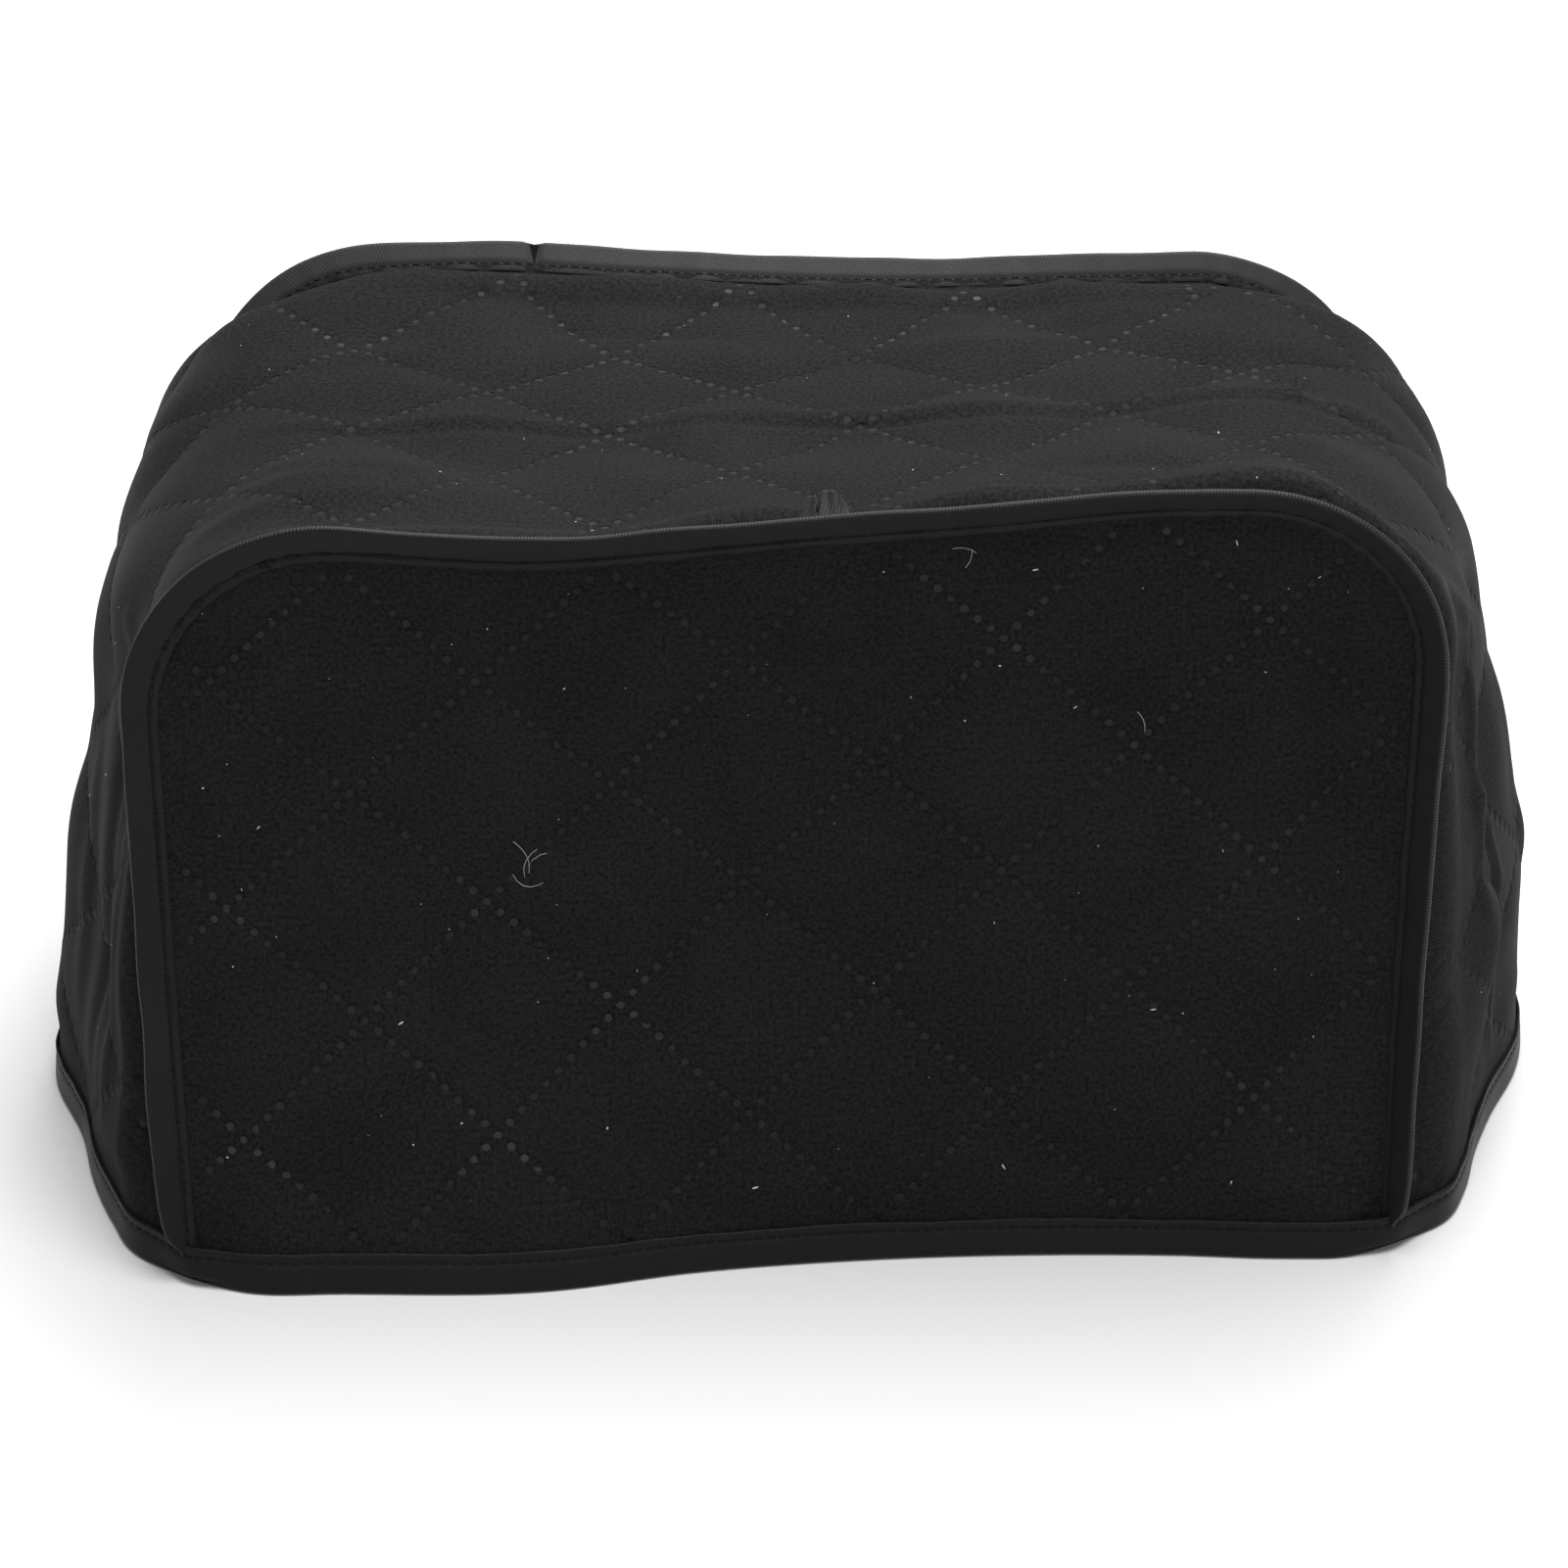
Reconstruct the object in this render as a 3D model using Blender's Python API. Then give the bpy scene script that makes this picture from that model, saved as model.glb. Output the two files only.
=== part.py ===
"""A quilted cloth cover for a toaster, standing empty on its hem.

Two panels with rounded top corners are joined by one band that makes the sides and the top. The seam
allowances point outwards and are bound with folded tape, and a third tape binds the hem all round.
The cloth is worked out in millimetres, with X to the right, Y to the back and Z up, and each mesh is
scaled to metres as it is made. Every piece shares the same seam stations, so their edges fit.
"""

from collections import namedtuple

import bpy
import numpy as np

MM = 0.001
# Moves the cover so that its box stands centred on the origin
CENTRING = (-1.3, 8.5, 0.0)
TINY = 1e-9

# Outline of the front and back at the stitch line, before it sags and flares
HALF_WIDTH = 149.0
HEIGHT = 185.0
CORNER_RADIUS = 42.0
FRONT_Y = -82.0
BACK_Y = 80.0

# Cloth: its half thickness in the open, inside the hem tape and where it is turned out into a seam
CLOTH_HALF = 1.0
HEM_CLOTH_HALF = 0.8
ALLOWANCE_HALF = 0.45
ALLOWANCE_MIDDLE = 0.65
ALLOWANCE_ROOT = 2.0
STEEPEST_TURN = 0.6

# Tape: its thickness and clearances, and how far it reaches over the cloth
TAPE = 0.8
GAP = 0.4
HEM_GAP = 0.5
CHANNEL_HALF = ALLOWANCE_MIDDLE + ALLOWANCE_HALF + GAP
SEAM_TAPE_WIDTH = 9.4
HEM_TAPE_HEIGHT = 9.6
PANEL_LIP = 0.8
BAND_LIP = 2.2
TAPE_NOSE = 0.7
HEM_CHAMFER = 0.5

# Colours and roughness of the cloth and the tape, and the angle above which an edge stays sharp
CLOTH_BLACK = (0.012, 0.012, 0.013)
TAPE_BLACK = (0.016, 0.016, 0.018)
CLOTH_ROUGHNESS = 0.85
TAPE_ROUGHNESS = 0.6
SHARP_ANGLE = 50

# Heights of the rows that stand inside the hem tape, and of the first row of the seam tapes
HEM_ROWS = (1.55, 10.0)
SEAM_TAPE_START = 12.5
FLANGE_FULL_HEIGHT = 34.0
FLANGE_START_SHARE = 0.42

# Quilting: a diamond lattice, puffed between its lines
PUFF = 1.3
PUFF_ROUNDNESS = 0.7
# Where a crossing of the lattice lies, its tilt in degrees, and a diamond's width and height as the cloth lies
Quilting = namedtuple("Quilting", "across along tilt width height")
FRONT_QUILTING = Quilting(-134.8, 36.4, 0.9, 62.4, 58.6)
BACK_QUILTING = Quilting(-118.0, 21.0, 2.1, 62.0, 62.0)
BAND_QUILT_START = -42.3
BAND_QUILT_PITCH = 59.0
# Distance from the front seam, rows of crossings passed: the fold along the top hides some of the cloth
BAND_ROWS = ((-50, -2), (-16, -1), (18, 0), (50, 1), (82.5, 2), (104, 3), (123, 4), (163, 5), (197, 6))
BAND_WIDTH = 170.0
QUILT_CALM = 12.0

# Side flare at the hem, the seams drawn in there, and the shoulders above the flare
SIDE_BULGE = 46.0
SEAM_DRAW_IN = {"left": 4.0, "right": 1.5}
SHOULDER_BULGE = 9.0
SHOULDER_START_X = 60.0
SHOULDER_START_Z = 105.0
SHOULDER_SOFT = 60.0
SHOULDER_LIFT = 0.35

# Depth fraction, share of the shoulder bulge
SHOULDER_SHARE = ((0.0, 0.0), (0.3, 0.15), (0.6, 0.35), (0.8, 0.9), (0.9, 1.0), (1.0, 0.0))

# Height, share of the side bulge
BULGE_FADE = ((0, 1.0), (20, 0.95), (64, 0.79), (117, 0.53), (150, 0.37), (170, 0.27), (185, 0.15))

# Depth fraction from front seam to back seam, share of the side bulge
BULGE_SHARE = (
    (0.00, 0.00), (0.05, 0.31), (0.12, 0.48), (0.20, 0.63), (0.31, 0.81), (0.40, 0.93),
    (0.50, 0.99), (0.60, 0.98), (0.70, 0.88), (0.80, 0.70), (0.88, 0.51), (0.95, 0.31), (1.00, 0.00),
)

# Place across (x), hem line of the front panel and of the back panel (y)
FRONT_HEM = (
    (-149, -113.5), (-136, -118.5), (-114, -118.8), (-60, -117.5), (-25, -109.5), (16, -104),
    (96, -101.5), (126, -103), (141, -102), (149, -98),
)
BACK_HEM = ((-148, 88), (-134, 95), (-90, 99), (-30, 95), (40, 97), (100, 102), (134, 97), (148, 90))
PANEL_FLARE_POWER = 2.0

# Place across (x), how far the stitch line stands above HEIGHT
FRONT_TOP = ((-104, -5.4), (-56, -7.2), (-27, -4.6), (7, -1.0), (47, 2.5), (86, 6.5), (117, 7.0))
BACK_TOP = ((-110, 3.0), (-85, 4.0), (-36, 1.5), (30, -0.8), (77, 0.2), (110, 1.0))
TOP_SAG = 5.0
LIFT_START = 20.0

# Place along the seam from the left hem to the right hem, degrees that the bound edge leans out
FRONT_LEAN = (
    (0.0, 40), (0.08, 14), (0.2, 5), (0.35, 22), (0.5, 32), (0.62, 38), (0.75, 50), (0.86, 58), (1.0, 62),
)
BACK_LEAN = ((0.0, 34), (0.06, 22), (0.2, 16), (0.5, 20), (0.8, 18), (0.94, 22), (1.0, 34))

# Folds of the sides: side, depth fraction, half width, height, lowest and highest point
SIDE_FOLDS = (
    ("right", 0.22, 13, 3.5, 40, 165),
    ("right", 0.22, 14, -4.0, -40, 25),
    ("right", 0.34, 15, -4.0, -40, 130),
    ("right", 0.48, 30, 4.0, 45, 140),
    ("right", 0.62, 20, 3.0, -40, 120),
    ("right", 0.80, 16, -3.0, 40, 150),
    ("left", 0.16, 13, -3.0, 40, 170),
    ("left", 0.33, 15, -3.0, -40, 110),
    ("left", 0.50, 16, 2.5, -40, 150),
    ("left", 0.78, 18, -3.0, 40, 140),
)
# Folds of the top: depth fraction, half width, height, from x, to x
TOP_FOLDS = (
    (0.43, 10, -3.0, -110, 140),
    (0.52, 10, 1.6, -30, 150),
    (0.24, 14, 1.8, -140, -20),
    (0.72, 16, 1.5, -60, 120),
)
# Hollows of a panel: middle x, half width, depth, lowest and highest point
FRONT_HOLLOWS = ((134, 16, 6.0, 35, 160), (-20, 60, 3.0, 60, 165), (-120, 26, -2.5, 40, 150))
BACK_HOLLOWS = ((-60, 50, 4.0, 40, 160), (80, 45, -3.0, 40, 140))
FOLD_SOFT = 40.0

# How far the band leaves each seam in a straight line, and how softly that ends
NECK_STRAIGHT = 5.0
NECK_BLEND = 12.0

# Grid: rows up each side, steps in a corner and across the top, depth fractions from seam to seam
SIDE_STEPS = 12
CORNER_STEPS = 6
TOP_STEPS = 20
BAND_COLUMNS = (
    0.035, 0.09, 0.155, 0.225, 0.295, 0.365, 0.43, 0.5, 0.57, 0.635, 0.705, 0.775, 0.845, 0.91, 0.965,
)

# The corner order that turns a quad over and keeps its diagonal
KEEP_DIAGONAL = (0, 3, 2, 1)
# The inner sides of the seam tape's section, against the band and against the panel
BAND_SIDE = 6
PANEL_SIDE = 8


def ease(value):
    """A smooth step from 0 to 1."""
    value = np.clip(value, 0.0, 1.0)
    return value * value * (3.0 - 2.0 * value)


def read_table(rows, place):
    """A smooth curve through the rows of a two-column table, level beyond its ends."""
    across, value = np.array(rows, float).T
    place = np.clip(place, across[0], across[-1])
    slope = np.gradient(value, across)
    span = np.clip(np.searchsorted(across, place, side="right") - 1, 0, len(across) - 2)
    width = across[span + 1] - across[span]
    part = (place - across[span]) / width
    rise = value[span + 1] - value[span]
    curve = rise * ease(part)
    start = slope[span] * width * part * (1 - part) ** 2
    end = slope[span + 1] * width * part**2 * (1 - part)
    return value[span] + curve + start - end


def bump(offset, half_width):
    """A rounded ridge, 1 at its middle."""
    return np.exp(-((offset / half_width) ** 2))


def between(value, low, high, soft):
    """1 from low to high, fading out over the soft distance at both ends."""
    return ease((value - low) / soft + 0.5) * ease((high - value) / soft + 0.5)


def unit(vectors):
    return vectors / np.linalg.norm(vectors, axis=-1, keepdims=True)


def seam_stations():
    """The flat outline of a panel from left hem to right hem: x, z and the outward direction."""
    straight = HEIGHT - CORNER_RADIUS
    rows = np.concatenate([HEM_ROWS, np.linspace(SEAM_TAPE_START, straight, SIDE_STEPS)])
    turn = np.radians(np.linspace(0, 90, CORNER_STEPS + 1))[1:]
    inner = HALF_WIDTH - CORNER_RADIUS
    level = np.ones_like(rows)
    side = np.stack([HALF_WIDTH * level, rows, level, 0 * level], 1)
    out_x, out_z = np.cos(turn), np.sin(turn)
    corner = np.stack([inner + CORNER_RADIUS * out_x, straight + CORNER_RADIUS * out_z, out_x, out_z], 1)
    right = np.concatenate([side, corner])
    left = right * (-1, 1, -1, 1)
    top_x = np.linspace(-inner, inner, TOP_STEPS + 1)[1:-1]
    level = np.ones_like(top_x)
    top = np.stack([top_x, HEIGHT * level, 0 * level, level], 1)
    return np.concatenate([left, top, right[::-1]]).T


def place_along(x, z):
    """Each station's place along the outline, from 0 to 1."""
    steps = np.hypot(np.diff(x), np.diff(z))
    length = np.concatenate([[0.0], np.cumsum(steps)])
    return length / length[-1]


def side_share(x):
    """-1 at the left side and 1 at the right side, passing smoothly through 0 on the top."""
    return np.clip(x / (HALF_WIDTH - CORNER_RADIUS), -1, 1)


def fade_up(z, power):
    return np.clip(1 - z / HEIGHT, 0, 1) ** power


def spread(x, z, depth):
    """How far a point of the flat outline moves out to the side at this depth fraction."""
    draw_in = np.where(x < 0, SEAM_DRAW_IN["left"], SEAM_DRAW_IN["right"]) * fade_up(z, 2)
    bulge = SIDE_BULGE * read_table(BULGE_FADE, z) * read_table(BULGE_SHARE, depth)
    return side_share(x) * (bulge - draw_in)


def top_rise(x, depth):
    """How far the top stands above HEIGHT at this depth fraction."""
    return (1 - depth) * read_table(FRONT_TOP, x) + depth * read_table(BACK_TOP, x)


def lift(x, z, depth):
    """The height of a point of the flat outline once the top's rise is shared down the sides."""
    return z + top_rise(x, depth) * ease((z - LIFT_START) / (HEIGHT - LIFT_START))


def panel_depth(x, z, top_y, hem, hollows):
    """Y of a panel: upright at the top, flaring to its hem line, with its hollows."""
    y = top_y + (read_table(hem, x) - top_y) * fade_up(z, PANEL_FLARE_POWER)
    for middle, half_width, deep, low, high in hollows:
        y = y - np.sign(top_y) * deep * bump(x - middle, half_width) * between(z, low, high, FOLD_SOFT)
    return y


def front_y(x, z):
    return panel_depth(x, z, FRONT_Y, FRONT_HEM, FRONT_HOLLOWS)


def back_y(x, z):
    return panel_depth(x, z, BACK_Y, BACK_HEM, BACK_HOLLOWS)


def band_point(x, z, depth):
    """A point of the band's middle surface, before its quilting."""
    top = ease((z - (HEIGHT - CORNER_RADIUS)) / CORNER_RADIUS)
    near_corner = ease((np.abs(x) - SHOULDER_START_X) / SHOULDER_SOFT)
    near_corner = near_corner * ease((z - SHOULDER_START_Z) / SHOULDER_SOFT)
    shoulder = SHOULDER_BULGE * near_corner * read_table(SHOULDER_SHARE, depth)
    run = (BACK_Y - FRONT_Y) * depth
    side_fold = 0.0
    for side, middle, half_width, height, low, high in SIDE_FOLDS:
        here = (x < 0) if side == "left" else (x > 0)
        ridge = bump(run - middle * (BACK_Y - FRONT_Y), half_width) * between(z, low, high, FOLD_SOFT)
        side_fold = side_fold + here * height * ridge
    top_fold = -TOP_SAG * np.sin(np.pi * depth)
    for middle, half_width, height, start, end in TOP_FOLDS:
        ridge = bump(run - middle * (BACK_Y - FRONT_Y), half_width) * between(x, start, end, FOLD_SOFT)
        top_fold = top_fold + height * ridge
    calm = np.sin(np.pi * depth) ** 0.5
    return np.stack([
        x + spread(x, z, depth) + side_share(x) * (side_fold * calm * (1 - top) + shoulder),
        (1 - depth) * front_y(x, z) + depth * back_y(x, z),
        lift(x, z, depth) + top_fold * calm * top + SHOULDER_LIFT * shoulder,
    ], -1)


def quilt_puff(side, up):
    """Height of the quilting at a place counted in diamonds: nothing on the lattice lines, most between them."""
    lines = np.sin(np.pi * (side + up)) * np.sin(np.pi * (side - up))
    return PUFF * np.abs(lines) ** PUFF_ROUNDNESS


def panel_puff(x, z, quilting):
    """Height of a panel's quilting."""
    turn = np.radians(quilting.tilt)
    across, along = x - quilting.across, z - quilting.along
    side = (across * np.cos(turn) + along * np.sin(turn)) / quilting.width
    up = (along * np.cos(turn) - across * np.sin(turn)) / quilting.height
    return quilt_puff(side, up)


def band_puff(along, across):
    """Height of the band's quilting."""
    distance, row = np.array(BAND_ROWS, float).T
    return quilt_puff((along - BAND_QUILT_START) / BAND_QUILT_PITCH, np.interp(across, distance, row) / 2)


class Seam:
    """The stitch line of one panel and the directions of its bound edge."""

    def __init__(self, depth, lean_table):
        x, z, out_x, out_z = seam_stations()
        self.x, self.z = x, z
        self.at_back = bool(depth)
        depth_here = np.full(len(x), float(depth))
        self.line = band_point(x, z, depth_here)
        lean = np.radians(read_table(lean_table, place_along(x, z)))[:, None]
        out = np.stack([out_x, np.zeros(len(x)), out_z], -1)
        away = np.array([0.0, 1.0 if depth else -1.0, 0.0])
        self.flange = np.cos(lean) * out + np.sin(lean) * away
        self.to_band = np.sin(lean) * out - np.cos(lean) * away
        grown = (z - SEAM_TAPE_START) / (FLANGE_FULL_HEIGHT - SEAM_TAPE_START)
        self.share = FLANGE_START_SHARE + (1 - FLANGE_START_SHARE) * ease(grown)
        self.in_hem = z < SEAM_TAPE_START

    def allowance(self, side, neighbour):
        """Root and tip of the cloth's turned-out edge; inside the hem tape both stay in the wall."""
        middle = self.line + side * ALLOWANCE_MIDDLE * self.to_band
        length = (SEAM_TAPE_WIDTH * self.share - TAPE - GAP)[:, None]
        tip = middle + length * self.flange
        inward = unit(neighbour - self.line)
        flat = self.in_hem[:, None]
        root = np.where(flat, self.line + ALLOWANCE_ROOT * inward, middle)
        return root, np.where(flat, self.line + GAP / 2 * inward, tip)


def vertex_normals(points, faces):
    """Mean unit normal of the faces round each point, and how far it turns from the steepest of them."""
    corners = points[faces]
    face_normal = unit(np.cross(corners[:, 2] - corners[:, 0], corners[:, 3] - corners[:, 1]))
    total = np.zeros_like(points)
    for corner in range(4):
        np.add.at(total, faces[:, corner], face_normal)
    normal = total / np.maximum(np.linalg.norm(total, axis=-1, keepdims=True), TINY)
    turn = np.ones(len(points))
    for corner in range(4):
        np.minimum.at(turn, faces[:, corner], (normal[faces[:, corner]] * face_normal).sum(-1))
    return normal, np.clip(turn, STEEPEST_TURN, 1.0)


def boundary_edges(faces):
    """The edges that only one face has, in that face's direction."""
    edges = {(int(face[k]), int(face[(k + 1) % 4])) for face in faces for k in range(4)}
    return [(a, b) for a, b in edges if (b, a) not in edges]


def thicken(points, faces, half, in_hem):
    """A closed sheet: the surface moved out and in by its half thickness, joined along its edges."""
    normal, turn = vertex_normals(points, faces)
    hem_normal, hem_turn = vertex_normals(points, faces[in_hem[faces].all(-1)])
    normal = np.where(in_hem[:, None], hem_normal, normal)
    turn = np.where(in_hem, hem_turn, turn)
    reach = normal * (half / turn)[:, None]
    count = len(points)
    both = np.concatenate([points + reach, points - reach])
    skin = [tuple(map(int, face)) for face in faces]
    lining = [tuple(map(int, face)) for face in faces[:, KEEP_DIAGONAL] + count]
    rim = [(b, a, a + count, b + count) for a, b in boundary_edges(faces)]
    return both, skin + lining + sorted(rim)


def grid_faces(rows, columns):
    """Quads of a grid whose points are numbered row by row."""
    row, column = np.mgrid[0:rows - 1, 0:columns - 1]
    first = (row * columns + column).ravel()
    return np.stack([first, first + columns, first + columns + 1, first + 1], -1)


def make_object(name, points, faces, color, roughness):
    """A closed mesh object in metres with its own material."""
    mesh = bpy.data.meshes.new(name)
    mesh.from_pydata(((points + CENTRING) * MM).tolist(), [], faces)
    mesh.update()
    mesh.shade_smooth()
    mesh.set_sharp_from_angle(angle=np.radians(SHARP_ANGLE))
    material = bpy.data.materials.new(name)
    material.use_nodes = True
    shader = material.node_tree.nodes["Principled BSDF"]
    shader.inputs["Base Color"].default_value = (*color, 1.0)
    shader.inputs["Roughness"].default_value = roughness
    shader.inputs["Metallic"].default_value = 0.0
    mesh.materials.append(material)
    piece = bpy.data.objects.new(name, mesh)
    bpy.context.scene.collection.objects.link(piece)
    return piece


def fill_outline(x, z):
    """Rows and columns of points inside the flat outline, with grid corners halfway round its corners."""
    last = len(x) - 1
    corner = corner_station(x)
    outline = np.stack([x, z], -1)
    left = outline[:corner + 1][:, None]
    right = outline[last - corner:][::-1][:, None]
    top = outline[corner:last - corner + 1][None]
    across = (top[..., :1] - top[0, 0, 0]) / (top[0, -1, 0] - top[0, 0, 0])
    up = (left[..., 1:] - left[0, 0, 1]) / (left[-1, 0, 1] - left[0, 0, 1])
    bottom = (1 - across) * left[0] + across * right[0]
    ruled_corners = (1 - up) * bottom + up * ((1 - across) * left[-1] + across * right[-1])
    return (1 - across) * left + across * right + (1 - up) * bottom + up * top - ruled_corners


def corner_station(x):
    """The station halfway round the first rounded corner."""
    return (len(x) - TOP_STEPS - 1) // 2 - CORNER_STEPS // 2


def ring_index(rows, columns, count):
    """The grid point under each seam station: up the left side, along the top and down the right side."""
    station = np.arange(count)
    row = np.minimum(np.minimum(station, rows - 1), count - 1 - station)
    column = np.clip(station - (rows - 1), 0, columns - 1)
    return row * columns + column


def make_panel(name, seam, panel_y, depth, quilting, color):
    """A panel inside its seam, with the turned-out allowance round three sides."""
    flat = fill_outline(seam.x, seam.z)
    rows, columns = flat.shape[:2]
    x, z = flat[..., 0].ravel(), flat[..., 1].ravel()
    middle = np.stack([x + spread(x, z, np.full(x.shape, depth)), panel_y(x, z), lift(x, z, depth)], -1)
    ring = ring_index(rows, columns, len(seam.x))
    edge = np.zeros(len(x), bool)
    edge[ring] = True
    away = np.array([0.0, 1.0 if depth else -1.0, 0.0])
    calm = ease((z - HEM_ROWS[1]) / QUILT_CALM)
    puff = panel_puff(x, z, quilting) * calm * ~edge
    middle = middle + puff[:, None] * away
    step_in = np.where(seam.x < 0, 1, -1)
    root, tip = seam.allowance(-1, middle[ring + step_in])
    middle[ring] = root
    points = np.concatenate([middle, tip])
    tips = len(middle) + np.arange(len(tip))
    strip = np.stack([tips[:-1], tips[1:], ring[1:], ring[:-1]], -1)
    strip = np.roll(strip, -1, axis=1) if seam.at_back else strip
    faces = np.concatenate([grid_faces(rows, columns), strip])
    half = np.where(edge, ALLOWANCE_HALF, CLOTH_HALF)
    half = np.concatenate([half, np.full(len(tip), ALLOWANCE_HALF)])
    in_hem = np.concatenate([z < SEAM_TAPE_START, seam.in_hem])
    half = np.where(in_hem, HEM_CLOTH_HALF, half)
    make_object(name, *thicken(points, faces, half, in_hem), color, CLOTH_ROUGHNESS)
    return middle.reshape(rows, columns, 3)[:2, 1:-1]


def make_band(name, front, back, color):
    """The strip from one hem over the top to the other, with an allowance along both seams."""
    width = np.linalg.norm(back.line - front.line, axis=-1)
    along = (place_along(front.x, front.z) - 0.5) * np.hypot(np.diff(front.x), np.diff(front.z)).sum()
    clear_of_hem = ease((front.z - SEAM_TAPE_START) / QUILT_CALM)
    columns = []
    for depth in BAND_COLUMNS:
        point = band_point(front.x, front.z, np.full(len(front.x), depth))
        for seam, share in ((front, depth), (back, 1 - depth)):
            distance = share * width
            neck = (1 - ease((distance - NECK_STRAIGHT) / NECK_BLEND)) * clear_of_hem
            straight = seam.line + seam.to_band * distance[:, None]
            point = point + (straight - point) * neck[:, None]
        columns.append(point)
    front_root, front_tip = front.allowance(1, columns[0])
    back_root, back_tip = back.allowance(1, columns[-1])
    grid = np.stack([front_tip, front_root, *columns, back_root, back_tip], 1)
    stations, count = grid.shape[:2]
    points = grid.reshape(-1, 3)
    faces = grid_faces(stations, count)
    puff = np.zeros((stations, count))
    for column, depth in enumerate(BAND_COLUMNS, start=2):
        calm = clear_of_hem * ease(min(depth, 1 - depth) * BAND_WIDTH / QUILT_CALM)
        puff[:, column] = band_puff(along, depth * BAND_WIDTH) * calm
    points = points + vertex_normals(points, faces)[0] * puff.reshape(-1, 1)
    half = np.full((stations, count), CLOTH_HALF)
    half[:, [0, 1, -2, -1]] = ALLOWANCE_HALF
    half[front.in_hem] = HEM_CLOTH_HALF
    in_hem = np.repeat(front.in_hem, count)
    make_object(name, *thicken(points, faces, half.ravel(), in_hem), color, CLOTH_ROUGHNESS)
    body = points.reshape(stations, count, 3)[:, 2:-2]
    return body[:2], body[-2:][::-1]


def sweep_section(frames, closed, turned=(), flip=False):
    """Points and faces of a section carried along its stations; an open run gets flat end caps.

    A turned side is split along its other diagonal, to match the cloth that lies against it.
    """
    stations, count = frames.shape[:2]
    station = np.arange(stations if closed else stations - 1)[:, None]
    corner = np.arange(count)[None]
    ahead = (station + 1) % stations
    following = (corner + 1) % count
    quads = np.stack([
        station * count + corner,
        station * count + following,
        ahead * count + following,
        ahead * count + corner,
    ], -1)
    for side in turned:
        quads[:, side] = np.roll(quads[:, side], -1, axis=-1)
    quads = quads.reshape(-1, 4)
    if flip:
        quads = quads[:, KEEP_DIAGONAL]
    faces = [tuple(map(int, quad)) for quad in quads]
    if not closed:
        start = tuple(range(count))
        end = tuple(range((stations - 1) * count, stations * count))
        faces.append(start if flip else start[::-1])
        faces.append(end[::-1] if flip else end)
    return frames.reshape(-1, 3), faces


def make_seam_binding(name, seam, color):
    """Tape folded round both allowances: a channel with a rounded nose, narrower where it starts."""
    bound = ~seam.in_hem
    outer = CHANNEL_HALF + TAPE
    width = SEAM_TAPE_WIDTH * seam.share[bound]
    level = np.ones_like(width)
    section = (
        (PANEL_LIP * level, -outer), (width - TAPE_NOSE, -outer), (width, -TAPE_NOSE),
        (width, TAPE_NOSE), (width - TAPE_NOSE, outer), (BAND_LIP * level, outer),
        (BAND_LIP * level, CHANNEL_HALF), (width - TAPE, CHANNEL_HALF),
        (width - TAPE, -CHANNEL_HALF), (PANEL_LIP * level, -CHANNEL_HALF),
    )
    line, flange, to_band = seam.line[bound], seam.flange[bound], seam.to_band[bound]
    frames = np.stack([line + reach[:, None] * flange + side * to_band for reach, side in section], 1)
    turned = (PANEL_SIDE,) if seam.at_back else (BAND_SIDE,)
    points, faces = sweep_section(frames, closed=False, turned=turned, flip=not seam.at_back)
    make_object(name, points, faces, color, TAPE_ROUGHNESS)


def make_hem_binding(name, front, back, runs, color):
    """One ring of folded tape round the whole hem, with a flat underside."""
    front_run, right_run, back_run, left_run = runs
    low = np.concatenate([
        front.line[:1], front_run[0], front.line[-1:], right_run[0],
        back.line[-1:], back_run[0][::-1], back.line[:1], left_run[0][::-1],
    ])
    high = np.concatenate([
        front.line[1:2], front_run[1], front.line[-2:-1], right_run[1],
        back.line[-2:-1], back_run[1][::-1], back.line[1:2], left_run[1][::-1],
    ])
    before = unit((low - np.roll(low, 1, 0)) * (1, 1, 0))
    after = unit((np.roll(low, -1, 0) - low) * (1, 1, 0))
    forward = unit(before + after)
    out = np.cross(forward, (0.0, 0.0, 1.0)) / (forward * after).sum(-1, keepdims=True)
    wall = (high - low) / (high[:, 2:] - low[:, 2:])
    inner = HEM_CLOTH_HALF + HEM_GAP
    outer = inner + TAPE
    section = (
        (outer - HEM_CHAMFER, 0.0), (-outer + HEM_CHAMFER, 0.0), (-outer, HEM_CHAMFER),
        (-outer, HEM_TAPE_HEIGHT), (-inner, HEM_TAPE_HEIGHT), (-inner, TAPE),
        (inner, TAPE), (inner, HEM_TAPE_HEIGHT), (outer, HEM_TAPE_HEIGHT), (outer, HEM_CHAMFER),
    )
    frames = np.stack([low + (height - HEM_ROWS[0]) * wall + side * out for side, height in section], 1)
    for corner, (_, height) in enumerate(section):
        frames[:, corner, 2] = height
    make_object(name, *sweep_section(frames, closed=True), color, TAPE_ROUGHNESS)


def main():
    for leftover in list(bpy.data.objects):
        bpy.data.objects.remove(leftover, do_unlink=True)
    front = Seam(0, FRONT_LEAN)
    back = Seam(1, BACK_LEAN)
    front_run = make_panel("front_panel", front, front_y, 0, FRONT_QUILTING, CLOTH_BLACK)
    back_run = make_panel("back_panel", back, back_y, 1, BACK_QUILTING, CLOTH_BLACK)
    left_run, right_run = make_band("band", front, back, CLOTH_BLACK)
    make_seam_binding("front_seam_binding", front, TAPE_BLACK)
    make_seam_binding("back_seam_binding", back, TAPE_BLACK)
    runs = (front_run, right_run, back_run, left_run)
    make_hem_binding("hem_binding", front, back, runs, TAPE_BLACK)


main()
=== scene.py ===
"""Dresses a quilted toaster cover in cloth, folded tapes, stitches, weld dots and lint, and sets its stage.

The shape is worked out in millimetres, with X to the right, Y to the back and Z up, from the sizes that the
cover's solids have. to_metres() centres it and scales it as each mesh is made.
"""

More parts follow.
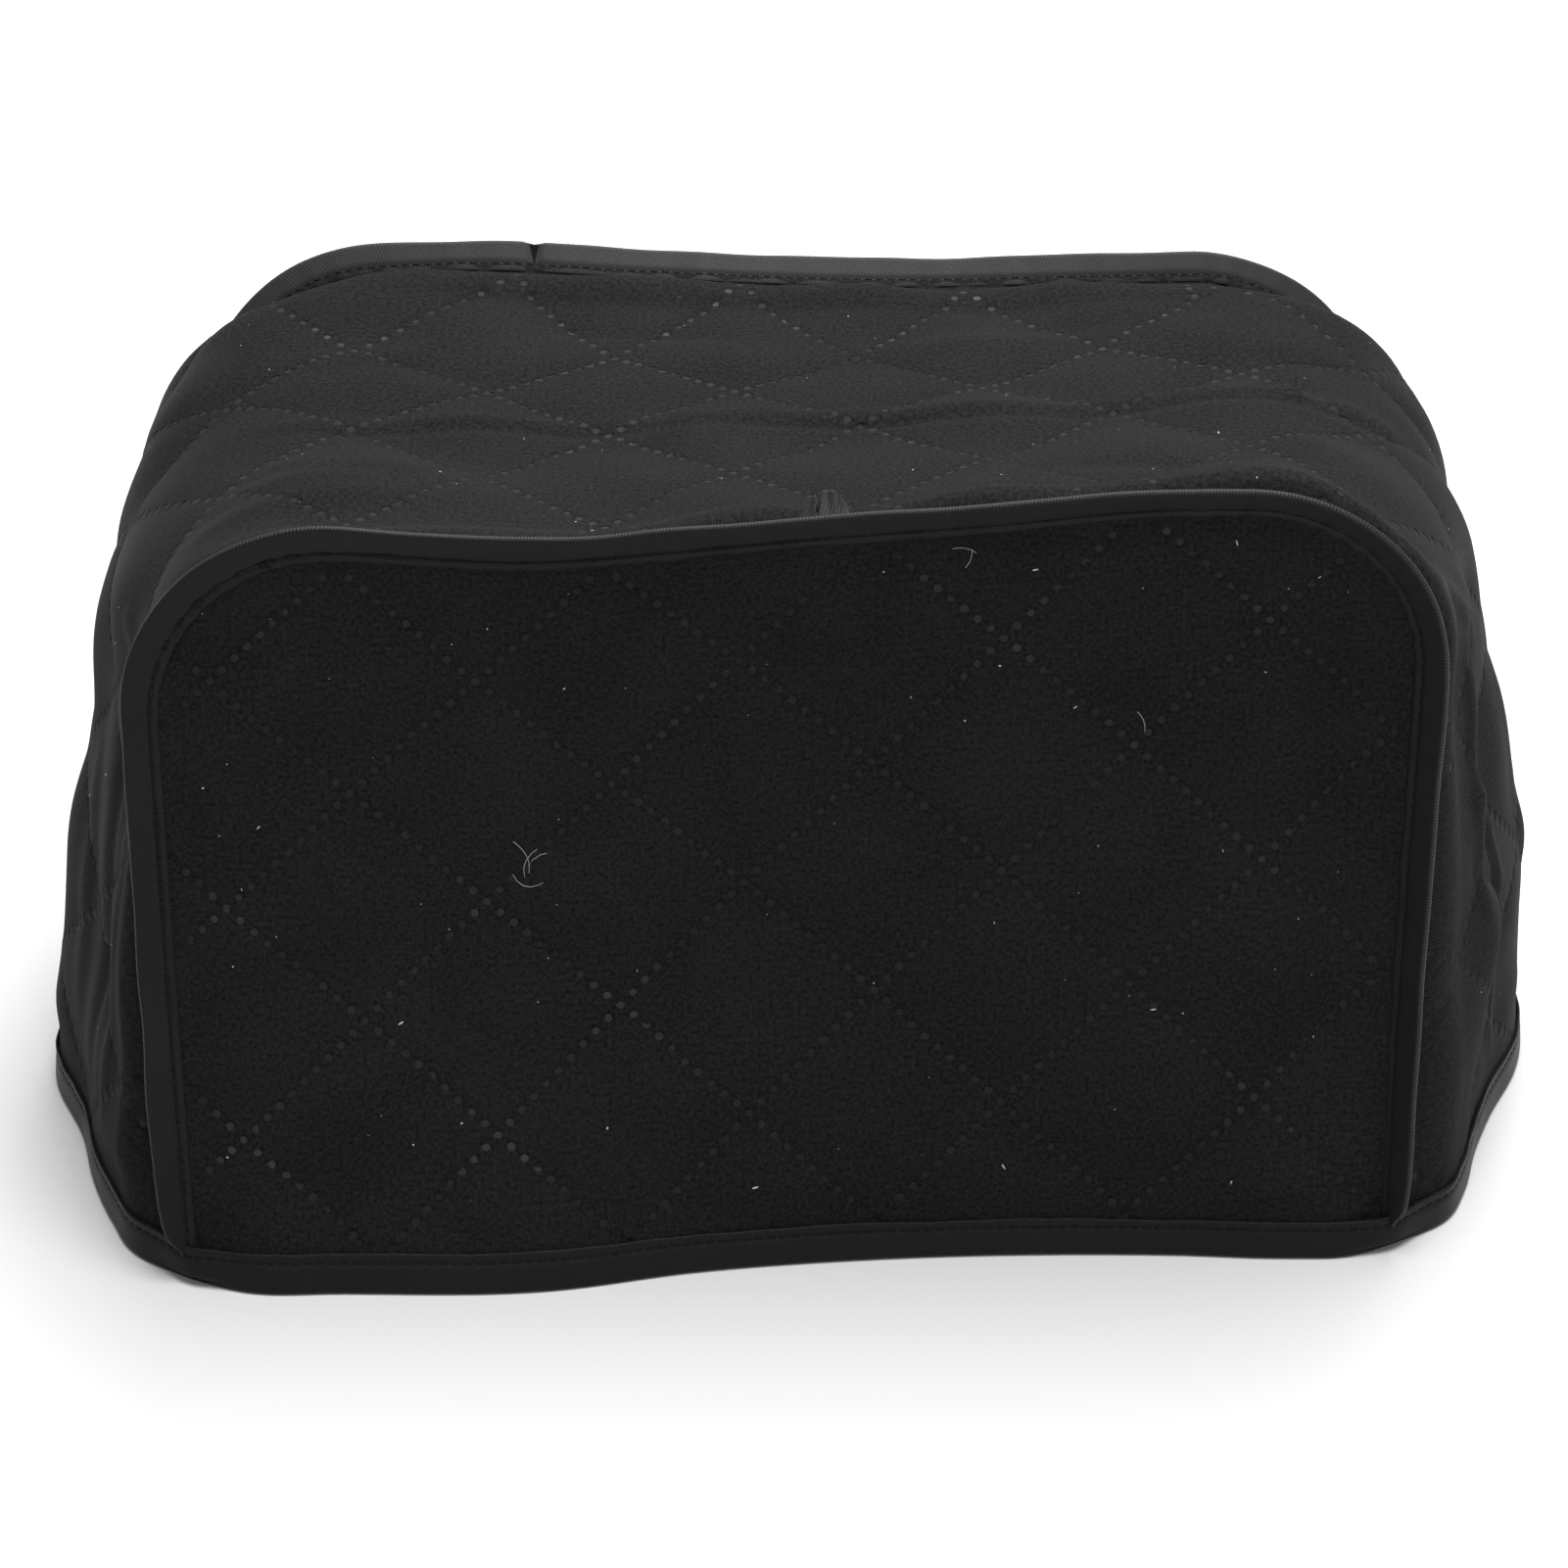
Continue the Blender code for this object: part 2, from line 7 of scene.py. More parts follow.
import functools
import math
import random
from collections import namedtuple

import bmesh
import bpy
import numpy as np
from mathutils import Matrix, Vector
from mathutils.bvhtree import BVHTree


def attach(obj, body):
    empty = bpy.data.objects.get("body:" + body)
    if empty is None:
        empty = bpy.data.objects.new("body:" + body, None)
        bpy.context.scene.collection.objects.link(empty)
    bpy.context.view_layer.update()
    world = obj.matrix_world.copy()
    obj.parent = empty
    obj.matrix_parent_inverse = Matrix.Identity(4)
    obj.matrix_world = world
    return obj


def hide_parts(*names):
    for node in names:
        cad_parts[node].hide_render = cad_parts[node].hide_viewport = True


bl_info = {
    "name": "Toaster Cover",
    "version": (1, 0, 0),
    "blender": (4, 5, 0),
    "location": "3D View > Sidebar > Toaster Cover",
    "description": "Builds a quilted cloth toaster cover with bound edges",
    "category": "Add Mesh",
}

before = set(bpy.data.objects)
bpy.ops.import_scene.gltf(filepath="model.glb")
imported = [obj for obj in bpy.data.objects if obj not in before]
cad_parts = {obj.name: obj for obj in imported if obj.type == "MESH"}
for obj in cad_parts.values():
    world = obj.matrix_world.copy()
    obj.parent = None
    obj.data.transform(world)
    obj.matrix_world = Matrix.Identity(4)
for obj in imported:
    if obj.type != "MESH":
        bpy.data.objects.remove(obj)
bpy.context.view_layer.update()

MM = 0.001
CENTRING = (-1.3, 8.5, 0.0)
BODY = "root"
SIDES = ("front", "back")

# Outline of the front and back at the stitch line, before it sags and flares
HALF_WIDTH = 149.0
HEIGHT = 185.0
CORNER_RADIUS = 42.0
FRONT_Y = -82.0
BACK_Y = 80.0
DEPTH = BACK_Y - FRONT_Y
HEM_LOW = 1.55
HEM_HIGH = 10.0
STRAIGHT = HEIGHT - CORNER_RADIUS - HEM_LOW
CORNER_ARC = CORNER_RADIUS * math.pi / 2
INNER = HALF_WIDTH - CORNER_RADIUS
SEAM_LENGTH = 2 * (STRAIGHT + CORNER_ARC + INNER)
# The place halfway round the first corner, where a panel's grid turns from its side to its top
GRID_CORNER = (STRAIGHT + CORNER_ARC / 2) / SEAM_LENGTH

# Quilting: a diamond lattice of weld dots, ten to a diamond's side, with the cloth puffed between its lines
QUILT_PITCH = 62.0
DOTS_A_SIDE = 10
PUFF_POWER = 0.8
GROOVE_SOFT = 0.07
# Where a crossing lies, the lattice's tilt in degrees, and a diamond's width and height on the cloth
Quilting = namedtuple("Quilting", "across along tilt width height")
FRONT_QUILTING = Quilting(-134.8, 36.4, 0.9, 62.4, 58.6)
BACK_QUILTING = Quilting(-118.0, 21.0, 2.1, QUILT_PITCH, QUILT_PITCH)
BAND_QUILT_START = -42.3
BAND_QUILT_PITCH = 59.0
# Distance from the front seam, rows of crossings passed: the fold along the top hides some of the cloth
BAND_ROWS = ((-50, -2), (-16, -1), (18, 0), (50, 1), (82.5, 2), (104, 3), (123, 4), (163, 5), (197, 6))
BAND_WIDTH = 170.0
BAND_PUFF = 1.4
QUILT_CALM = 12.0
EDGE_CALM = 8.0
CALM_START = 12.5

# Side flare, shoulders and how far the seams are drawn in at the hem
SIDE_BULGE = 46.0
SHOULDER_BULGE = 9.0
SHOULDER_START_X = 60.0
SHOULDER_START_Z = 105.0
SHOULDER_SOFT = 60.0
SHOULDER_LIFT = 0.35
SEAM_DRAW_IN = {"left": 4.0, "right": 1.5}
TOP_SAG = 5.0
FOLD_SOFT = 40.0
LIFT_START = 20.0
PANEL_FLARE_POWER = 2.0
NECK_STRAIGHT = 5.0
NECK_BLEND = 12.0

# Depth fraction, share of the shoulder bulge
SHOULDER_SHARE = ((0.0, 0.0), (0.3, 0.15), (0.6, 0.35), (0.8, 0.9), (0.9, 1.0), (1.0, 0.0))

# Height, share of the side bulge
BULGE_FADE = ((0, 1.0), (20, 0.95), (64, 0.79), (117, 0.53), (150, 0.37), (170, 0.27), (185, 0.15))

# Depth fraction from front seam to back seam, share of the side bulge
BULGE_SHARE = (
    (0.00, 0.00), (0.05, 0.31), (0.12, 0.48), (0.20, 0.63), (0.31, 0.81), (0.40, 0.93),
    (0.50, 0.99), (0.60, 0.98), (0.70, 0.88), (0.80, 0.70), (0.88, 0.51), (0.95, 0.31), (1.00, 0.00),
)

# Place across (x), hem line of the front panel and of the back panel (y)
FRONT_HEM = (
    (-149, -113.5), (-136, -118.5), (-114, -118.8), (-60, -117.5), (-25, -109.5), (16, -104),
    (96, -101.5), (126, -103), (141, -102), (149, -98),
)
BACK_HEM = ((-148, 88), (-134, 95), (-90, 99), (-30, 95), (40, 97), (100, 102), (134, 97), (148, 90))

# Place across (x), how far the stitch line stands above HEIGHT
FRONT_TOP = ((-104, -5.4), (-56, -7.2), (-27, -4.6), (7, -1.0), (47, 2.5), (86, 6.5), (117, 7.0))
BACK_TOP = ((-110, 3.0), (-85, 4.0), (-36, 1.5), (30, -0.8), (77, 0.2), (110, 1.0))

# Place along the seam from the left hem to the right hem, degrees that the bound edge leans out
FRONT_LEAN = (
    (0.0, 40), (0.08, 14), (0.2, 5), (0.35, 22), (0.5, 32), (0.62, 38), (0.75, 50), (0.86, 58), (1.0, 62),
)
BACK_LEAN = ((0.0, 34), (0.06, 22), (0.2, 16), (0.5, 20), (0.8, 18), (0.94, 22), (1.0, 34))
# How many degrees further than the cloth's own edge the tape's edge droops back
BACK_DROOP = ((0.25, 0), (0.4, 12), (0.6, 12), (0.75, 0))

# Folds of the sides: side, depth fraction, half width, height, lowest and highest point
SIDE_FOLDS = (
    ("right", 0.22, 13, 3.5, 40, 165),
    ("right", 0.22, 14, -4.0, -40, 25),
    ("right", 0.34, 15, -4.0, -40, 130),
    ("right", 0.48, 30, 4.0, 45, 140),
    ("right", 0.62, 20, 3.0, -40, 120),
    ("right", 0.80, 16, -3.0, 40, 150),
    ("left", 0.16, 13, -3.0, 40, 170),
    ("left", 0.33, 15, -3.0, -40, 110),
    ("left", 0.50, 16, 2.5, -40, 150),
    ("left", 0.78, 18, -3.0, 40, 140),
)
# Folds of the top: depth fraction, half width, height, from x, to x
TOP_FOLDS = (
    (0.43, 12, -0.6, -110, 140),
    (0.52, 10, 1.2, -30, 150),
    (0.24, 14, 1.6, -140, -20),
    (0.72, 16, 1.5, -60, 120),
)
# Hollows of a panel: middle x, half width, depth, lowest and highest point
FRONT_HOLLOWS = ((134, 16, 6.0, 35, 160), (-20, 60, 3.0, 60, 165), (-120, 26, -2.5, 40, 150))
BACK_HOLLOWS = ((-60, 50, 4.0, 40, 160), (80, 45, -3.0, 40, 140))

# Fine creases of the band: along and across at one end, along and across at the other, half width, height
BAND_CREASES = (
    (-122, 79, -20, 83, 1.6, -0.9),
    (-122, 84, -20, 88, 2.6, 0.8),
    (-28, 83, 70, 80, 1.5, -1.2),
    (-28, 88, 70, 85, 2.6, 1.0),
    (62, 80, 144, 87, 1.6, -1.1),
    (62, 86, 144, 93, 2.8, 0.9),
    (112, 92, 122, 84, 1.8, 1.5),
    (108, 96, 120, 96, 1.8, -0.9),
    (-140, 30, -76, 36, 5.0, 1.2),
    (-136, 52, -90, 50, 4.0, -0.9),
    (-130, 112, -84, 124, 4.5, 1.0),
    (60, 40, 108, 33, 4.5, -1.0),
    (10, 126, 86, 130, 5.0, 1.0),
    (-60, 138, -10, 134, 4.0, -0.8),
    (176, 30, 252, 36, 3.0, 1.6),
    (188, 44, 300, 52, 2.6, -1.5),
    (194, 52, 306, 60, 2.8, 1.7),
    (210, 24, 238, 60, 2.4, 1.1),
    (232, 26, 262, 66, 2.2, -1.1),
    (200, 86, 290, 92, 4.0, 1.2),
    (-300, 30, -206, 22, 3.0, 1.3),
    (-296, 42, -196, 36, 3.0, -1.3),
    (-290, 60, -210, 64, 4.5, 1.2),
    (-230, 96, -180, 110, 4.0, -1.2),
    (-176, 10, -164, 40, 3.0, 1.2),
    (152, 12, 172, 34, 2.6, 1.0),
)
# Fine creases of the front panel: x and z at one end, x and z at the other, half width, height
FRONT_CREASES = (
    (-146, 120, -118, 158, 4.0, 0.8),
    (104, 166, 136, 120, 4.0, -0.8),
    (120, 176, 142, 140, 2.6, 0.9),
    (-90, 40, 10, 56, 10.0, 0.7),
    (30, 120, 96, 70, 9.0, 0.6),
)
BACK_CREASES = (
    (-130, 150, -90, 110, 6.0, 0.9),
    (20, 60, 110, 90, 9.0, -0.7),
    (-40, 150, 60, 140, 7.0, 0.8),
)

# Tapes: the share of its full width that a seam tape has at each height, where it comes out of the hem
SEAM_TAPE_WIDTH = 9.4
FLANGE_SHARE = ((3, 0.2), (8, 0.45), (12, 0.8), (18, 0.95), (26, 1.0))
SEAM_TAPE_START = 5.0
PANEL_LIP = 0.7
BAND_LIP = 1.3
NOSE_SHARE = 0.2
NOSE_LENGTH = 0.5
NOSE_HALF = 0.55
LIP_HALF = 1.75
GROOVE_DEPTH = 0.4
GROOVE_HALF = 0.7
FRONT_STITCH_REACH = 2.7
BACK_STITCH_REACH = 3.6
ALLOWANCE = 3.2
ALLOWANCE_MIDDLE = 0.65
ALLOWANCE_FADE = 6.0
TURN_SOFT = 1.2
GATHER_PITCH = 6.3
GATHER_DEPTH = 0.28

# The back tape's joined ends: place along from its middle, half width and depth of the dent
BACK_JOIN = (-67.5, 1.3, 1.3)
# The front tape's end, tucked behind it: place along from the middle, half width, height, reach of its foot
FRONT_END = (8.5, 6.5, 8.0, 4.0)
END_DROOP = math.radians(45)
# The slit between its pleats: place and half width as shares of half its width
END_SLIT = (-0.35, 0.07)

HEM_TAPE_HEIGHT = 9.6
HEM_HALF = 1.75
HEM_NOSE_SHARE = 0.22
HEM_NOSE_HEIGHT = 1.6
HEM_SQUARENESS = 0.7
HEM_STITCH_HEIGHT = 7.4
HEM_CORNER_BULGE = 2.2
HEM_CORNER_REACH = 8.0

# How much wider a tape is cut than its two legs show, on each side
TURNED_LIP = 1

# Painted light on the back tape's face that tilts up to the overhead lamp: paler from its fold on, clear of
# its lip, and most along the top
PAINTED_LIGHT_START = 0.45
PAINTED_LIGHT_END = 0.84
PAINTED_LIGHT_ON_SIDES = 0.35
# Where the band's cloth shows its ribs: strength, along from and to, across from and to
RIBBED = ((1.0, 168, 330, -20, 58), (0.2, -330, -200, -20, 40))
RIBBED_SOFT = 30

# How uneven the cloth and the tapes lie
PANEL_UNEVEN = 0.35
BAND_UNEVEN = 0.55
TAPE_WAVE = 0.2
TAPE_RIPPLE = 0.16
LIP_WAVE = 0.2

TAPE_HALF = 0.35
STITCH_HALF = 0.26

# How far small things stand above the cloth or the tape that they are on
DOT_ABOVE = 0.06
STITCH_ABOVE = 0.05
LINT_ABOVE = 0.05
HAIR_ABOVE = 0.12

# A weld dot's skirt: its width as a share of the dot's, its depth, and the depth of the dish
DOT_SKIRT_SHARE = 1.3
DOT_SKIRT_DEPTH = 0.35
DOT_DISH_DEPTH = 0.05
DOT_CLEAR_OF_SEAM = 3.5
DOT_CLEAR_OF_HEM = 3
BAND_DOT_CLEAR = 4

# Grids: the distance between points along and across a piece
CLOTH_STEP = 1.8
TAPE_STEP = 1.5
TAPE_ROWS = 40
HEM_STATIONS = 560
HEM_SAMPLES = 400
HEM_SMOOTHINGS = 4
SEAM_SAMPLES = 700
SHIFT = 0.3

# Shinier weld dots: along and across (x and z on a panel), radius, strength
PANEL_DULL = 0.16
BAND_DULL = 0.28
FRONT_SHINE = (
    (-133, 31, 15, 0.75), (-70, 33, 15, 0.8), (-42, 65, 14, 0.7), (-136, 90, 11, 0.6), (-73, 95, 13, 0.45),
    (51, 160, 18, 0.5), (81, 132, 14, 0.3), (80, 184, 14, 0.6), (113, 162, 14, 0.35), (113, 101, 15, 0.4),
    (113, 42, 15, 0.4), (-24, 175, 10, 0.45), (-127, 168, 16, 0.5), (35, 175, 9, 0.4), (-104, 10, 9, 0.3),
)
BACK_SHINE = ((-90, 120, 30, 0.5), (40, 60, 30, 0.5), (100, 150, 26, 0.6), (-30, 40, 20, 0.4))
BAND_SHINE = (
    (-75, 162, 14, 0.5), (-57, 140, 12, 0.6), (-17, 162, 13, 0.9), (-34, 142, 12, 0.75), (3, 146, 12, 0.7),
    (48, 162, 13, 0.95), (27, 135, 12, 0.65), (65, 146, 10, 0.7), (109, 162, 13, 0.95), (90, 142, 10, 0.7),
    (124, 142, 10, 0.7), (-125, 165, 12, 0.9), (-107, 135, 17, 0.9), (-107, 70, 14, 0.55), (-45, 70, 14, 0.7),
    (17, 70, 12, 0.45), (80, 70, 10, 0.25), (-130, 8, 12, 0.9), (-240, 100, 30, 0.3), (240, 120, 30, 0.3),
)

# Hairs caught on the front: x and z at one end, at the other, and how far the middle is bent aside
FRONT_HAIRS = (
    (-66.5, 112, -63, 103, 1.2), (-61, 109.5, -64, 102, -1.4), (-67, 103, -59.5, 100.5, -2.2),
    (-63, 105, -58.5, 108, 0.8), (38, 181, 43.5, 179.5, 0.7), (42.5, 180.5, 41, 176, 0.5),
    (82.5, 136, 84.5, 131, 0.6),
)
HAIR_HALF = 0.055
HAIR_THICKNESS = 0.1

# Lint: cloth, share of the count, along from and to, across from and to (x and z on a panel), seed
LINT_FACES = (
    ("front_panel_cloth", 1.0, ((-140, 140), (14, 178)), 5),
    ("back_panel_cloth", 0.5, ((-140, 140), (14, 178)), 6),
    ("band_cloth", 1.0, ((-300, 300), (6, 164)), 7),
)
SPECK_SIZES = (0.12, 0.15, 0.19, 0.26)
SPECK_LENGTHS = (1.0, 1.2, 1.6, 3.5)

# Lights: name, place, tilt in degrees about X, Y and Z, width and length, power
LIGHTS = (
    ("overhead", (0.2, 0.4, 1.7), (0, 6, 0), (1.0, 2.4), 77.0),
    ("front card", (0.1, -1.7, 1.0), (60, 0, 0), (1.0, 0.4), 5.0),
)
WORLD_STRENGTH = 0.22
# The floor, and how far from the cover it starts to glow, so that it stays pale to the horizon
FLOOR_HALF = 30.0
GLOW_START = 0.95
GLOW_FULL = 2.6
GLOW_STRENGTH = 0.8
CAMERA_SENSOR = 36.0
CAMERA_LENS = 99.3
CAMERA_PLACE = (-0.0025, -0.9958, 0.5904)
CAMERA_DOWN = 27.0

BUILD_ORDER = ("panels", "band", "tapes", "dots", "stitches", "lint", "stage")

Seam = namedtuple("Seam", "line flange to_band neck z share")
HemPath = namedtuple("HemPath", "low rise out stations length")


def to_metres(points):
    """Points of the shape, centred on the origin and in metres."""
    return (np.asarray(points, float) + CENTRING) * MM


def ease(value):
    """A smooth step from 0 to 1."""
    value = np.clip(value, 0.0, 1.0)
    return value * value * (3.0 - 2.0 * value)


def read_table(rows, place):
    """A smooth curve through the rows of a two-column table, level beyond its ends."""
    across, value = np.array(rows, float).T
    place = np.clip(place, across[0], across[-1])
    slope = np.gradient(value, across)
    span = np.clip(np.searchsorted(across, place, side="right") - 1, 0, len(across) - 2)
    width = across[span + 1] - across[span]
    part = (place - across[span]) / width
    rise = value[span + 1] - value[span]
    start = slope[span] * width * part * (1 - part) ** 2
    end = slope[span + 1] * width * part**2 * (1 - part)
    return value[span] + rise * ease(part) + start - end


def bump(offset, half_width):
    """A rounded ridge, 1 at its middle."""
    return np.exp(-((offset / half_width) ** 2))


def between(value, low, high, soft):
    """1 from low to high, fading out over the soft distance at both ends."""
    return ease((value - low) / soft + 0.5) * ease((high - value) / soft + 0.5)


def unit(vectors):
    return vectors / np.linalg.norm(vectors, axis=-1, keepdims=True)


def uneven(across, along, seed, shortest, longest):
    """Soft unevenness between about -1 and 1, made of a few waves in several directions."""
    draw = random.Random(seed)
    total = np.zeros(np.broadcast(across, along).shape)
    waves = 6
    for _ in range(waves):
        length = draw.uniform(shortest, longest)
        angle = draw.uniform(0, math.pi)
        phase = draw.uniform(0, 2 * math.pi)
        run = across * math.cos(angle) + along * math.sin(angle)
        total = total + np.sin(2 * math.pi * run / length + phase)
    return total / math.sqrt(waves)


def creases(across, along, rows):
    """Height of the creases in a table, each a soft line that fades at both ends."""
    total = np.zeros(np.broadcast(across, along).shape)
    for from_x, from_y, to_x, to_y, half_width, height in rows:
        run_x, run_y = to_x - from_x, to_y - from_y
        part = ((across - from_x) * run_x + (along - from_y) * run_y) / (run_x**2 + run_y**2)
        here = np.clip(part, 0, 1)
        off = np.hypot(across - from_x - here * run_x, along - from_y - here * run_y)
        total = total + height * bump(off, half_width) * (4 * here * (1 - here)) ** 0.6
    return total


def outline(place):
    """x, z and outward direction of a panel's flat outline at places 0 to 1, left hem to right hem."""
    from_middle = (place - 0.5) * SEAM_LENGTH
    side = np.sign(from_middle)
    run = np.abs(from_middle)
    turn = np.clip((run - INNER) / CORNER_RADIUS, 0, math.pi / 2)
    down = np.maximum(run - INNER - CORNER_ARC, 0)
    x = side * (np.minimum(run, INNER) + CORNER_RADIUS * np.sin(turn))
    z = HEIGHT - CORNER_RADIUS * (1 - np.cos(turn)) - down
    return x, z, side * np.sin(turn), np.cos(turn)


def edge_distance(x, z):
    """How far a point of the flat outline lies inside its seam."""
    aside = np.abs(x) - INNER
    above = z - (HEIGHT - CORNER_RADIUS)
    round_corner = CORNER_RADIUS - np.hypot(aside, above)
    straight = np.minimum(HALF_WIDTH - np.abs(x), HEIGHT - z)
    return np.where((aside > 0) & (above > 0), round_corner, straight)


def side_share(x):
    """-1 at the left side and 1 at the right side, passing smoothly through 0 on the top."""
    return np.clip(x / INNER, -1, 1)


def fade_up(z, power):
    return np.clip(1 - z / HEIGHT, 0, 1) ** power


def spread(x, z, depth):
    """How far a point of the flat outline moves out to the side at this depth fraction."""
    draw_in = np.where(x < 0, SEAM_DRAW_IN["left"], SEAM_DRAW_IN["right"]) * fade_up(z, 2)
    bulge = SIDE_BULGE * read_table(BULGE_FADE, z) * read_table(BULGE_SHARE, depth)
    return side_share(x) * (bulge - draw_in)


def lift(x, z, depth):
    """The height of a point of the flat outline once the top's rise is shared down the sides."""
    rise = (1 - depth) * read_table(FRONT_TOP, x) + depth * read_table(BACK_TOP, x)
    return z + rise * ease((z - LIFT_START) / (HEIGHT - LIFT_START))


def panel_y(x, z, at_back):
    """Y of a panel: upright at the top, flaring to its hem line, with its hollows."""
    front = (FRONT_Y, FRONT_HEM, FRONT_HOLLOWS)
    top_y, hem, hollows = (BACK_Y, BACK_HEM, BACK_HOLLOWS) if at_back else front
    y = top_y + (read_table(hem, x) - top_y) * fade_up(z, PANEL_FLARE_POWER)
    for middle, half_width, deep, low, high in hollows:
        y = y - np.sign(top_y) * deep * bump(x - middle, half_width) * between(z, low, high, FOLD_SOFT)
    return y


def band_point(x, z, depth):
    """A point of the band's middle surface, before its quilting."""
    top = ease((z - (HEIGHT - CORNER_RADIUS)) / CORNER_RADIUS)
    near_corner = ease((np.abs(x) - SHOULDER_START_X) / SHOULDER_SOFT)
    near_corner = near_corner * ease((z - SHOULDER_START_Z) / SHOULDER_SOFT)
    shoulder = SHOULDER_BULGE * near_corner * read_table(SHOULDER_SHARE, depth)
    run = DEPTH * depth
    side_fold = 0.0
    for side, middle, half_width, height, low, high in SIDE_FOLDS:
        here = (x < 0) if side == "left" else (x > 0)
        ridge = bump(run - middle * DEPTH, half_width) * between(z, low, high, FOLD_SOFT)
        side_fold = side_fold + here * height * ridge
    top_fold = -TOP_SAG * np.sin(np.pi * depth)
    for middle, half_width, height, start, end in TOP_FOLDS:
        ridge = bump(run - middle * DEPTH, half_width) * between(x, start, end, FOLD_SOFT)
        top_fold = top_fold + height * ridge
    calm = np.sin(np.pi * np.clip(depth, 0, 1)) ** 0.5
    return np.stack([
        x + spread(x, z, depth) + side_share(x) * (side_fold * calm * (1 - top) + shoulder),
        (1 - depth) * panel_y(x, z, False) + depth * panel_y(x, z, True),
        lift(x, z, depth) + top_fold * calm * top + SHOULDER_LIFT * shoulder,
    ], -1)


def seam_at(place, at_back):
    """The stitch line of a panel and the directions of its bound edge, at places from 0 to 1 along it."""
    x, z, out_x, out_z = outline(place)
    lean = np.radians(read_table(BACK_LEAN if at_back else FRONT_LEAN, place))[:, None]
    droop = np.radians(read_table(BACK_DROOP, place))[:, None] * at_back
    out = np.stack([out_x, np.zeros_like(out_x), out_z], -1)
    away = np.array([0.0, 1.0 if at_back else -1.0, 0.0])
    return Seam(
        line=band_point(x, z, np.full(x.shape, float(at_back))),
        flange=np.cos(lean + droop) * out + np.sin(lean + droop) * away,
        to_band=np.sin(lean + droop) * out - np.cos(lean + droop) * away,
        neck=np.sin(lean) * out - np.cos(lean) * away,
        z=z,
        share=read_table(FLANGE_SHARE, z),
    )


def panel_lattice(x, z, quilting):
    """A place on a panel in diamonds, counted along both directions of the quilting lines."""
    turn = math.radians(quilting.tilt)
    across, along = x - quilting.across, z - quilting.along
    side = (across * math.cos(turn) + along * math.sin(turn)) / quilting.width
    up = (along * math.cos(turn) - across * math.sin(turn)) / quilting.height
    return side + up, side - up


def from_panel_lattice(one, other, quilting):
    """The place on a panel of a place in its lattice."""
    turn = math.radians(quilting.tilt)
    side = (one + other) * quilting.width / 2
    up = (one - other) * quilting.height / 2
    across = quilting.across + side * math.cos(turn) - up * math.sin(turn)
    along = quilting.along + side * math.sin(turn) + up * math.cos(turn)
    return across, along


def band_lattice(along, across):
    """A place on the band in diamonds, counted along both directions of the quilting lines."""
    distance, row = np.array(BAND_ROWS, float).T
    side = (along - BAND_QUILT_START) / BAND_QUILT_PITCH
    up = np.interp(across, distance, row) / 2
    return side + up, side - up


def from_band_lattice(one, other):
    """The place on the band of a place in its lattice."""
    distance, row = np.array(BAND_ROWS, float).T
    return BAND_QUILT_START + (one + other) * BAND_QUILT_PITCH / 2, np.interp(one - other, row, distance)


def quilt_puff(one, other):
    """Share of the quilting's height at a place in the lattice: nothing on its lines, most between them."""
    height = np.abs(np.sin(np.pi * one) * np.sin(np.pi * other))
    soft = np.sqrt(height**2 + GROOVE_SOFT**2) - GROOVE_SOFT
    return (soft / (math.sqrt(1 + GROOVE_SOFT**2) - GROOVE_SOFT)) ** PUFF_POWER


def panel_outline(u, v):
    """x and z in the flat outline for a unit square, its upper corners halfway round the rounded ones."""
    left = np.stack(outline(v * GRID_CORNER)[:2], -1)
    right = left * (-1, 1)
    top = np.stack(outline(GRID_CORNER + u * (1 - 2 * GRID_CORNER))[:2], -1)
    ends = np.stack(outline(np.array([0.0, GRID_CORNER]))[:2], -1)
    low, high = ends
    across = ((top[:, 0] - high[0]) / (-2 * high[0]))[:, None]
    up = ((left[:, 1] - low[1]) / (high[1] - low[1]))[:, None]
    bottom = low + across * (-2 * low[0], 0)
    ruled = (1 - up) * bottom + up * (high + across * (-2 * high[0], 0))
    return ((1 - across) * left + across * right + (1 - up) * bottom + up * top - ruled).T


def panel_surface(x, z, at_back, relief):
    """A panel's middle surface with its quilting and creases."""
    quilting = BACK_QUILTING if at_back else FRONT_QUILTING
    rows = BACK_CREASES if at_back else FRONT_CREASES
    inside = edge_distance(x, z)
    calm = ease((z - HEM_HIGH) / QUILT_CALM) * ease(inside / EDGE_CALM)
    height = relief * quilt_puff(*panel_lattice(x, z, quilting))
    height = height + creases(x, z, rows) + PANEL_UNEVEN * uneven(x, z, 3 + at_back, 18, 60)
    height = height * calm + ALLOWANCE_MIDDLE * (1 - ease(inside / ALLOWANCE_FADE)) * ease(z / HEM_HIGH - 1)
    depth = np.full(x.shape, float(at_back))
    y = panel_y(x, z, at_back) + height * (1 if at_back else -1)
    return np.stack([x + spread(x, z, depth), y, lift(x, z, depth)], -1)


def band_middle(place, depth):
    """The band's middle surface, leaving each seam square to its bound edge."""
    x, z, _, _ = outline(place)
    point = band_point(x, z, depth)
    front, back = seam_at(place, False), seam_at(place, True)
    width = np.linalg.norm(back.line - front.line, axis=-1)
    clear_of_hem = ease((z - CALM_START) / QUILT_CALM)
    for seam, share in ((front, depth), (back, 1 - depth)):
        distance = share * width
        neck = (1 - ease((distance - NECK_STRAIGHT) / NECK_BLEND)) * clear_of_hem
        straight = seam.line + seam.neck * distance[:, None]
        point = point + (straight - point) * neck[:, None]
    return point


